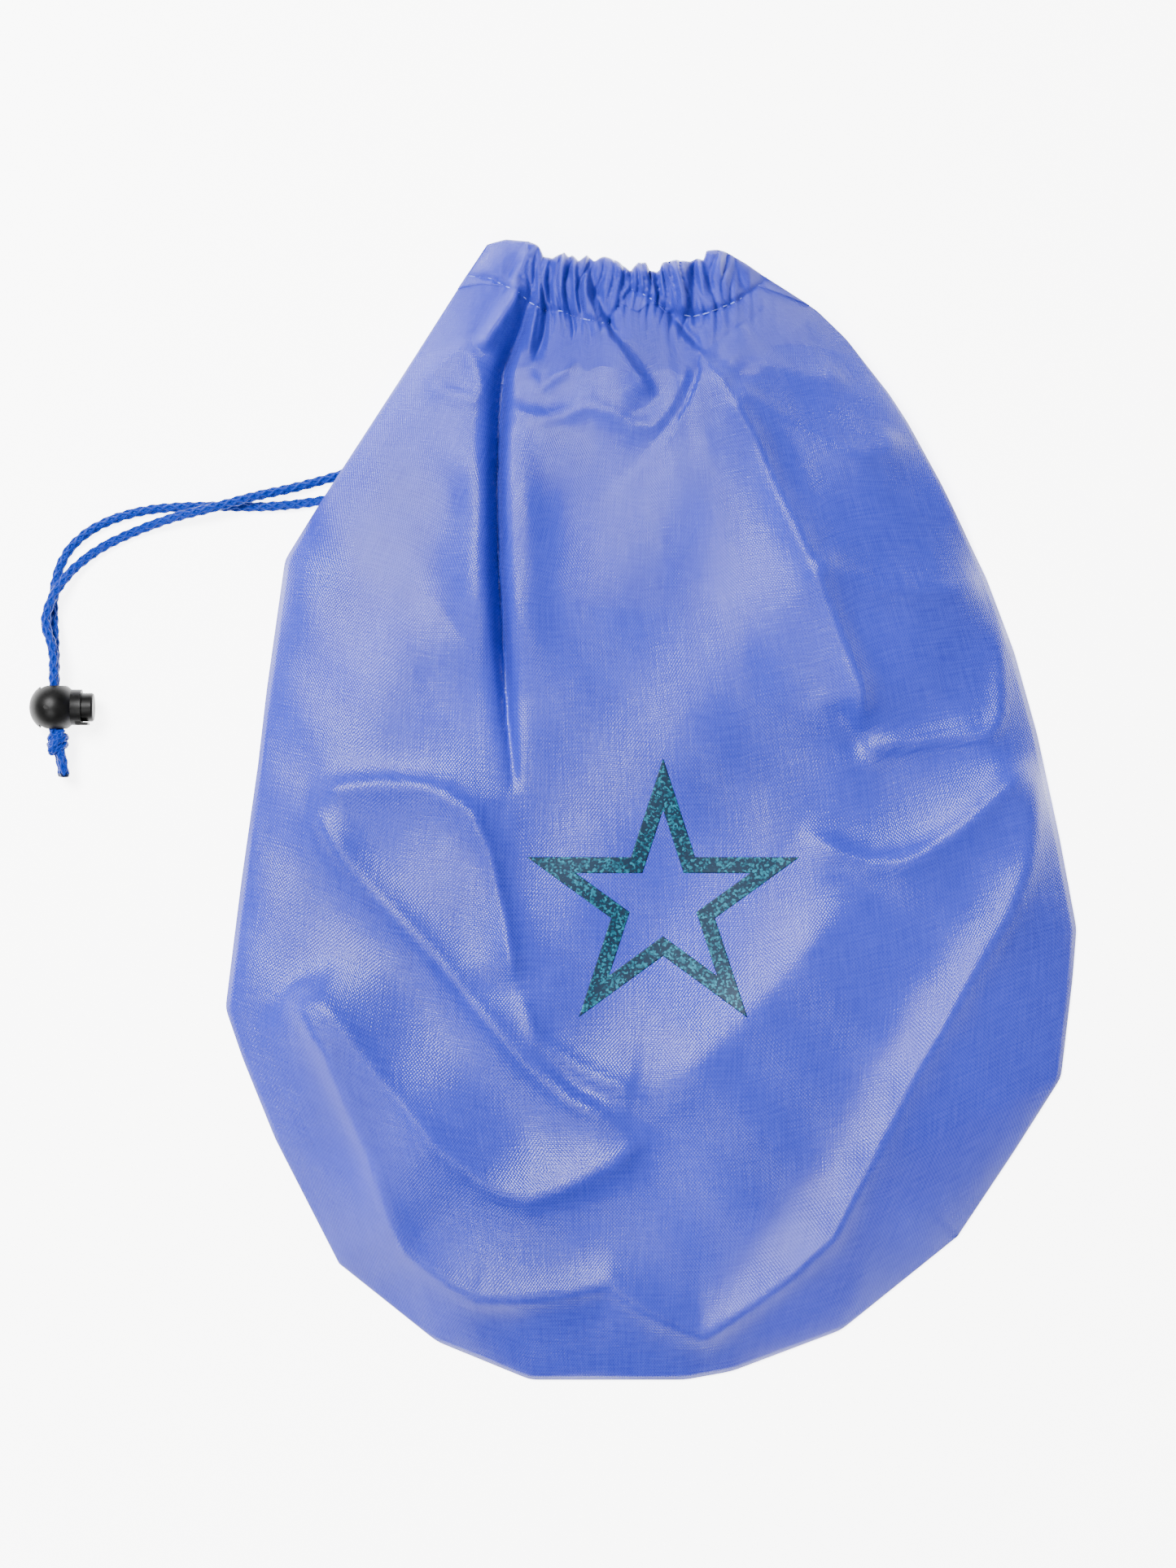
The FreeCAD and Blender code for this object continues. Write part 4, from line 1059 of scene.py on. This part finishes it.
@dataclass
class StarPrint:
    """A plain five-pointed star, one open line of glitter film that follows the cloth.

    Attributes:
        shape: The laid bag's shape.
        middle: The star's middle in millimetres.
        radius: From its middle to its outer points.
        stroke: From the outer points to the inner line's points.
        lift: How far its top stands off the cloth.
        film: Its thickness.
        cuts: How often each of its faces is divided to follow the cloth.
    """

    shape: BagShape
    middle: tuple[float, float] = (4.0, -31.0)
    radius: float = 50.0
    stroke: float = 18.0
    lift: float = 0.16
    film: float = 0.12
    cuts: int = 15

    def build(self) -> bpy.types.Object:
        """Makes the film.

        Returns:
            The print.
        """
        corners = 10
        inner_share = math.sin(math.radians(18)) / math.sin(math.radians(54))
        bm = bmesh.new()
        edges = []
        for radius in (self.radius, self.radius - self.stroke):
            ring = []
            for corner in range(corners):
                reach = radius * (1 if corner % 2 == 0 else inner_share)
                angle = math.radians(90 + 360 / corners * corner)
                ring.append(bm.verts.new((self.middle[0] + reach * math.cos(angle),
                                          self.middle[1] + reach * math.sin(angle), 0)))
            edges += [bm.edges.new((ring[i], ring[(i + 1) % corners])) for i in range(corners)]
        bmesh.ops.bridge_loops(bm, edges=edges)
        bmesh.ops.subdivide_edges(bm, edges=bm.edges, cuts=self.cuts, use_grid_fill=True)
        bmesh.ops.recalc_face_normals(bm, faces=bm.faces)
        if sum(face.normal.z for face in bm.faces) < 0:
            bmesh.ops.reverse_faces(bm, faces=bm.faces)
        spots = np.array([vertex.co for vertex in bm.verts], float)
        heights = self.shape.front(spots[:, 0], spots[:, 1]) + self.lift
        for vertex, height in zip(bm.verts, heights):
            vertex.co = Vector((vertex.co.x, vertex.co.y, height)) * MM
        piece = make_piece("star_film", bm, FILM, "bag")
        wall = piece.modifiers.new("thickness", "SOLIDIFY")
        wall.thickness = self.film * MM
        wall.offset = -1
        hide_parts("print_star")
        return piece


# ---------------------------------------------------------------- drawstring

class Strand(Enum):
    """The two free runs of the drawstring, by which lies on top where they cross."""

    OVER = "drawstring_leg_over"
    UNDER = "drawstring_leg_under"


# Where each free run goes, in metres, from the exit under the casing to the knot.
ROUTES: dict[Strand, Route] = {
    Strand.OVER: (
        (-0.01905, 0.1844, 0.0056), (-0.0193, 0.1782, 0.0018), (-0.0215, 0.1695, 0.0018),
        (-0.0290, 0.1570, 0.0018), (-0.0450, 0.1445, 0.0018), (-0.0660, 0.1340, 0.0018),
        (-0.0890, 0.1256, 0.0018), (-0.1110, 0.1182, 0.0018), (-0.1270, 0.1139, 0.0026),
        (-0.1380, 0.1115, 0.0054), (-0.1475, 0.1088, 0.0067), (-0.1570, 0.1062, 0.0067),
        (-0.1675, 0.1039, 0.0049), (-0.1800, 0.0997, 0.0018), (-0.1928, 0.0940, 0.0018),
        (-0.2023, 0.0869, 0.0029), (-0.2073, 0.0806, 0.0058), (-0.2110, 0.0740, 0.0078),
        (-0.2129, 0.0662, 0.0094), (-0.2093, 0.0575, 0.0106), (-0.2093, 0.0481, 0.0106),
        (-0.2093, 0.0273, 0.0106)),
    Strand.UNDER: (
        (-0.01495, 0.1844, 0.0056), (-0.0151, 0.1782, 0.0018), (-0.0164, 0.1680, 0.0018),
        (-0.0230, 0.1505, 0.0018), (-0.0385, 0.1340, 0.0018), (-0.0590, 0.1225, 0.0018),
        (-0.0840, 0.1152, 0.0018), (-0.1090, 0.1108, 0.0018), (-0.1330, 0.1073, 0.0018),
        (-0.1570, 0.1080, 0.0018), (-0.1780, 0.1069, 0.0018), (-0.1940, 0.1019, 0.0018),
        (-0.2046, 0.0940, 0.0018), (-0.2095, 0.0840, 0.0018), (-0.2107, 0.0735, 0.0018),
        (-0.2093, 0.0580, 0.0069), (-0.2093, 0.0470, 0.0069), (-0.2093, 0.0273, 0.0069)),
}


def smooth_line(route: Route) -> np.ndarray:
    """Points of the smooth line that a limp cord takes along its route.

    Args:
        route: The route's points in metres.

    Returns:
        One row of x, y and z for each point.
    """
    curve = bpy.data.curves.new("line", "CURVE")
    curve.dimensions = "3D"
    spline = curve.splines.new("NURBS")
    spline.points.add(len(route) - 1)
    for point, place in zip(spline.points, route):
        point.co = (*place, 1)
    spline.order_u = 3
    spline.use_endpoint_u = True
    curve.resolution_u = 12
    holder = bpy.data.objects.new("line", curve)
    mesh = bpy.data.meshes.new_from_object(holder)
    points = np.array([vertex.co for vertex in mesh.vertices], float)
    bpy.data.objects.remove(holder)
    bpy.data.curves.remove(curve)
    bpy.data.meshes.remove(mesh)
    return points


def even_steps(line: np.ndarray, step: float) -> tuple[np.ndarray, np.ndarray]:
    """The same line with even steps, and how far along each point is.

    Args:
        line: Points in metres.
        step: The wanted step in metres.

    Returns:
        The points and their distances from the start.
    """
    lengths = lengths_along(line)
    way = np.linspace(0, lengths[-1], max(4, int(lengths[-1] / step)))
    return np.stack([np.interp(way, lengths, line[:, k]) for k in range(3)], axis=1), way


def add_run(curve: bpy.types.Curve, places: np.ndarray) -> bpy.types.Spline:
    """Adds a straight-stepped run to a curve.

    Args:
        curve: The curve.
        places: The run's points in metres.

    Returns:
        The new run.
    """
    run = curve.splines.new("POLY")
    run.points.add(len(places) - 1)
    run.points.foreach_set("co", np.column_stack([places, np.ones(len(places))]).ravel())
    return run


def steady_frames(line: np.ndarray) -> tuple[np.ndarray, np.ndarray]:
    """Two directions across a line that turn no more than they must.

    Args:
        line: Points in metres.

    Returns:
        The first and second direction at each point.
    """
    tangents = np.gradient(line, axis=0)
    tangents /= np.linalg.norm(tangents, axis=1)[:, None]
    first = np.zeros_like(line)
    start = np.cross(tangents[0], (0, 0, 1.0))
    first[0] = start / np.linalg.norm(start)
    for i in range(1, len(line)):
        moved = first[i - 1] - tangents[i] * np.dot(first[i - 1], tangents[i])
        first[i] = moved / np.linalg.norm(moved)
    return first, np.cross(tangents, first)


@dataclass
class BraidedTube:
    """A round braid of eight strands, four turning each way, over and under each other.

    Attributes:
        diameter: The braid's, in millimetres.
        strands: How many strands turn each way.
        pitch: The length of one turn of a strand.
        step: From one ring of points to the next.
        thick: A strand's radius.
        weave: How far a strand dips under those that turn the other way.
    """

    diameter: float = 3.6
    strands: int = 4
    pitch: float = 17.0
    step: float = 0.85
    thick: float = 0.58
    weave: float = 0.14

    def mesh_along(self, line: np.ndarray, name: str) -> bpy.types.Mesh:
        """Braids the strands round a line.

        Args:
            line: The line's points in metres.
            name: The mesh's name.

        Returns:
            The strands as one mesh.
        """
        points, way = even_steps(line, self.step * MM)
        first, second = steady_frames(points)
        middle = (self.diameter / 2 - self.thick) * MM
        curve = bpy.data.curves.new(name, "CURVE")
        curve.dimensions = "3D"
        curve.bevel_depth = self.thick * MM
        curve.bevel_resolution = 1
        curve.use_fill_caps = True
        curve.materials.append(CORD_BRAID.material())
        turned = 2 * math.pi * way / (self.pitch * MM)
        for sense in (1, -1):
            for number in range(self.strands):
                angle = sense * turned + 2 * math.pi * number / self.strands
                over = np.cos(self.strands * turned + number * math.pi)
                reach = middle + (sense * over - 1) * self.weave * MM
                across = first * np.cos(angle)[:, None] + second * np.sin(angle)[:, None]
                add_run(curve, points + across * reach[:, None])
        core = add_run(curve, points)
        wide = (self.diameter / 2 - self.thick) / self.thick
        core.points.foreach_set("radius", np.full(len(points), wide))
        holder = bpy.data.objects.new(name, curve)
        mesh = bpy.data.meshes.new_from_object(holder)
        bpy.data.objects.remove(holder)
        bpy.data.curves.remove(curve)
        mesh.shade_smooth()
        mesh.name = name
        return mesh

    def piece_along(self, line: np.ndarray, name: str) -> bpy.types.Object:
        """Makes a braided piece on the bag.

        Args:
            line: The line's points in metres.
            name: The piece's name.

        Returns:
            The piece.
        """
        piece = bpy.data.objects.new(name, self.mesh_along(line, name))
        bpy.context.scene.collection.objects.link(piece)
        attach(piece, "bag")
        return piece


@dataclass
class Drawstring:
    """The drawstring: a loop in the casing, two free runs, a knot and two heat-cut tails.

    Attributes:
        shape: The laid bag's shape.
        diameter: The cord's, in metres.
        braid_fullness: How much the drawn braid is wider than the cord, in millimetres.
        under_front: How far the loop's middle lies below the front's cloth, in millimetres.
    """

    shape: BagShape
    diameter: float = 0.0036
    braid_fullness: float = 0.15
    under_front: float = 2.0

    def on_back(self, spots: list[tuple[float, float]]) -> list[tuple[float, float, float]]:
        """Puts places on the inside of the back.

        Args:
            spots: Places seen from above, in millimetres.

        Returns:
            The same places with the back's height.
        """
        return [(x, y, float(self.shape.back(np.array([x]), np.array([y]))[0])) for x, y in spots]

    def casing_loop(self, braid: BraidedTube) -> bpy.types.Object:
        """The cord inside the casing, from the exit round the mouth and back.

        Args:
            braid: The cord's braid.

        Returns:
            The piece.
        """
        out = [(-14.95, 184.4, 5.6), (-14.0, 186.0, 7.4)]
        right = [(0.0, 182.5), (12.0, 183.0), (26.0, 182.0)]
        left = [(-52.0, 191.0), (-38.0, 187.0), (-27.0, 186.0)]
        home = [(-20.0, 186.0, 7.4), (-19.05, 184.4, 5.6)]
        x = np.linspace(34, -54, 12)
        mouth, stitched = np.array(self.shape.mouth), np.array(self.shape.stitch_line)
        y = 0.5 * (np.interp(x, *mouth.T) + np.interp(x, *stitched.T))
        # The lowest tuck round each place decides how high the cord can lie there.
        beside = [self.shape.front(x + dx, y + dy) for dx in (-2, 0, 2) for dy in (-2, 0, 2)]
        z = np.min(beside, axis=0) - self.under_front
        round_front = list(zip(x.tolist(), y.tolist(), z.tolist()))
        route = out + self.on_back(right) + round_front + self.on_back(left) + home
        line = smooth_line(tuple((x * MM, y * MM, z * MM) for x, y, z in route))
        piece = braid.piece_along(line, "drawstring_in_casing")
        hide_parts("drawstring_loop")
        return piece

    def knot(self) -> bpy.types.Object:
        """The overhand knot: two turns drawn tight and one strand crossing over them.

        Returns:
            The piece.
        """
        low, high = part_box("drawstring_knot")
        middle = np.array((low + high) / 2)
        turns, half_length, widest, taper, start = 2.35, 2.9, 2.55, 0.35, 0.6
        way = np.linspace(0, 1, 90)
        angle = 2 * math.pi * turns * way + start
        swell = widest - taper * np.abs(2 * way - 1)
        round_it = np.stack([swell * np.cos(angle),
                             (0.5 - way) * 2 * half_length + 0.8 * np.cos(angle),
                             swell * np.sin(angle)], axis=1)
        way = np.linspace(0, 1, 30)
        over_it = np.stack([2.3 * np.cos(math.pi * (0.25 + 0.55 * way)), 2.9 - 6.2 * way,
                            0.9 + 2.2 * np.sin(math.pi * (0.15 + 0.6 * way))], axis=1)
        tight = BraidedTube(diameter=3.4, pitch=11.0, step=0.6)
        bm = bmesh.new()
        for line in (round_it, over_it):
            made = tight.mesh_along(line * MM + middle, "knot_turns")
            bm.from_mesh(made)
            bpy.data.meshes.remove(made)
        piece = make_piece("stopper_knot", bm, CORD_BRAID, "bag")
        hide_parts("drawstring_knot")
        return piece

    def cut_end(self, name: str, place: Vector, facing: Vector) -> bpy.types.Object:
        """The dark bead of melted fibre where a tail was cut.

        Args:
            name: The piece's name.
            place: Where the tail ends, in metres.
            facing: Which way the tail points.

        Returns:
            The piece.
        """
        half = self.diameter / 2
        lean, past = Vector((-0.25, 0, 0)), 0.3 * MM
        bm = bmesh.new()
        bmesh.ops.create_cone(bm, cap_ends=True, segments=20, radius1=half * 0.98,
                              radius2=half * 0.9, depth=1.3 * MM)
        bmesh.ops.bevel(bm, geom=bm.edges[:], offset=0.3 * MM, segments=2, affect="EDGES",
                        profile=0.5, material=-1)
        turned = (facing + lean).to_track_quat("Z", "X").to_matrix().to_4x4()
        bmesh.ops.transform(bm, verts=bm.verts,
                            matrix=Matrix.Translation(place + facing * past) @ turned)
        return make_piece(name, bm, CORD_END, "bag")

    def tails(self, braid: BraidedTube) -> list[bpy.types.Object]:
        """The two tails and their dark, heat-cut ends.

        Args:
            braid: The cord's braid.

        Returns:
            Their pieces.
        """
        made = []
        for node in ("drawstring_tail_over", "drawstring_tail_under"):
            low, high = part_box(node)
            inside, middle = self.diameter / 2 + 0.3 * MM, (low.x + high.x) / 2
            start = Vector((middle - 0.6 * MM, high.y, high.z - inside))
            stop = Vector((middle + 0.8 * MM, low.y + 1.2 * MM, low.z + inside))
            bend = (start + stop) / 2 + Vector((0.4 * MM, 0, 0.4 * MM))
            line = smooth_line((tuple(start), tuple(bend), tuple(stop)))
            piece = braid.piece_along(line, node.replace("drawstring_", "cord_"))
            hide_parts(node)
            made += [piece, self.cut_end(piece.name + "_end", stop, (stop - start).normalized())]
        return made

    def build(self, lock: list[bpy.types.Object]) -> list[bpy.types.Object]:
        """Makes the whole drawstring, with its two free runs.

        Args:
            lock: The pieces of the cord lock, which is on both runs; not used.

        Returns:
            Its pieces.
        """
        braid = BraidedTube(diameter=self.diameter / MM + self.braid_fullness)
        knot = self.knot()
        made = [knot, *self.tails(braid), self.casing_loop(braid)]
        for strand, route in ROUTES.items():
            line = smooth_line(route)
            piece = braid.piece_along(line, "cord_" + strand.name.lower())
            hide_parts(strand.value)
            LOG.info("%s is %.0f mm long", piece.name, lengths_along(line)[-1] / MM)
            made.append(piece)
        return made


# ---------------------------------------------------------------- cord lock

@dataclass
class CordLock:
    """The spring cord lock: a moulded ball with its collar, the button and the spring.

    Attributes:
        edge: The width of the mouldings' broken edges, in metres.
        travel: How far the button goes in, in metres.
        join: How close the CAD mesh's loose corners lie that belong together, in metres.
    """

    edge: float = 0.00022
    travel: float = 0.0028
    join: float = 0.000002

    def merged(self, node: str) -> bmesh.types.BMesh:
        """A copy of a CAD node's mesh with its loose triangles joined.

        Args:
            node: The CAD node.

        Returns:
            The copy.
        """
        bm = bmesh.new()
        bm.from_mesh(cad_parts[node].data)
        bmesh.ops.remove_doubles(bm, verts=bm.verts, dist=self.join)
        return bm

    def moulding(self, node: str, name: str, body: str) -> bpy.types.Object:
        """A CAD moulding with its edges broken as a mould leaves them.

        Args:
            node: The CAD node it copies.
            name: The piece's name.
            body: The body it rides on.

        Returns:
            The piece.
        """
        bm = self.merged(node)
        bmesh.ops.dissolve_limit(bm, angle_limit=math.radians(1), verts=bm.verts, edges=bm.edges)
        piece = make_piece(name, bm, ABS, body)
        piece.data.set_sharp_from_angle(angle=math.radians(32))
        soft = piece.modifiers.new("broken_edges", "BEVEL")
        soft.width = self.edge
        soft.segments = 2
        soft.limit_method = "ANGLE"
        soft.angle_limit = math.radians(40)
        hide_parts(node)
        return piece

    def spring(self) -> bpy.types.Object:
        """The return spring, as the CAD part gives it, with a mesh of its own.

        Returns:
            The piece.
        """
        piece = make_piece("return_spring", self.merged("lock_spring"), WIRE, "lock")
        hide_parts("lock_spring")
        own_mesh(piece)
        return piece

    def build(self) -> list[bpy.types.Object]:
        """Makes the ball, the button and the spring.

        Returns:
            The pieces of the lock.
        """
        ball = self.moulding("lock_barrel", "lock_ball", "lock")
        button = self.moulding("lock_plunger", "lock_button", "plunger")
        return [ball, button, self.spring()]


# ---------------------------------------------------------------- studio

@dataclass
class Studio:
    """A white table under soft light, and the camera straight above the bag.

    Attributes:
        aim: The place that the camera looks at, in millimetres.
        view_height: How much of the table it sees from top to bottom, in millimetres.
        distance: The camera's height in metres.
        sensor: The height of its sensor in millimetres.
        table_side: The table top's side in metres.
        table_glow: How much light the table gives off, which keeps it white.
        surroundings: How strong the surroundings' light is.
    """

    aim: tuple[float, float] = (-22.2, 10.0)
    view_height: float = 553.0
    distance: float = 1.5
    sensor: float = 24.0
    table_side: float = 4.0
    table_glow: float = 5.5
    surroundings: float = 0.26

    def build(self) -> None:
        """Makes the camera, the floor, the world and the lights."""
        camera = bpy.data.cameras.new("camera")
        camera.sensor_fit = "VERTICAL"
        camera.sensor_height = self.sensor
        camera.lens = self.sensor * self.distance / (self.view_height * MM)
        holder = bpy.data.objects.new("camera", camera)
        holder.location = (self.aim[0] * MM, self.aim[1] * MM, self.distance)
        bpy.context.scene.collection.objects.link(holder)
        bpy.context.scene.camera = holder
        self.floor()
        self.world()
        self.light("key_light", (-0.58, 0.52, 1.25), 0.55, 70.0)
        self.light("low_light", (-0.50, -0.62, 1.25), 0.45, 14.0)
        self.light("fill_light", (1.0, -0.3, 1.2), 1.4, 5.0)

    def floor(self) -> None:
        """A matt white table top."""
        bm = bmesh.new()
        bmesh.ops.create_grid(bm, x_segments=1, y_segments=1, size=self.table_side)
        mesh = bpy.data.meshes.new("table_top")
        bm.to_mesh(mesh)
        bm.free()
        white = bpy.data.materials.new("matt_white")
        white.use_nodes = True
        feed(white.node_tree, white.node_tree.nodes["Principled BSDF"],
             {"Base Color": linear("#F8F8F6"), "Roughness": 0.9,
              "Emission Color": linear("#FFFFFF"), "Emission Strength": self.table_glow})
        mesh.materials.append(white)
        table = bpy.data.objects.new("table_top", mesh)
        bpy.context.scene.collection.objects.link(table)

    def world(self) -> None:
        """Even white surroundings."""
        world = bpy.data.worlds.new("studio")
        world.use_nodes = True
        feed(world.node_tree, world.node_tree.nodes["Background"],
             {"Color": linear("#FFFFFF"), "Strength": self.surroundings})
        bpy.context.scene.world = world

    def light(self, name: str, place: tuple[float, float, float], size: float,
              power: float) -> None:
        """A square softbox that points at the bag.

        Args:
            name: The light's name.
            place: Where it is, in metres.
            size: Its side in metres.
            power: Its power in watts.
        """
        lamp = bpy.data.lights.new(name, "AREA")
        lamp.size = size
        lamp.energy = power
        holder = bpy.data.objects.new(name, lamp)
        holder.location = place
        holder.rotation_euler = (-Vector(place)).to_track_quat("-Z", "Y").to_euler()
        bpy.context.scene.collection.objects.link(holder)


def dress_hidden_sewing() -> None:
    """Gives the sewing that stays as CAD nodes its thread finish."""
    for node in ("exit_buttonhole", "back_casing_stitches"):
        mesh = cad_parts[node].data
        mesh.materials.clear()
        mesh.materials.append(THREAD.material())


def main() -> None:
    """Builds the bag piece by piece."""
    logging.basicConfig(level=logging.INFO, format="%(message)s")
    Studio().build()
    shape = BagShape()
    lock = CordLock().build()
    drawstring = Drawstring(shape).build(lock)
    LOG.info("drawstring: %s", ", ".join(piece.name for piece in drawstring))
    for panel in Cloth(shape).build():
        LOG.info("%s: %d faces", panel.name, len(panel.data.polygons))
    LOG.info("sewing: %s", CasingStitches(shape).build().name)
    LOG.info("print: %s", StarPrint(shape).build().name)
    dress_hidden_sewing()


if __name__ == "__main__":
    main()
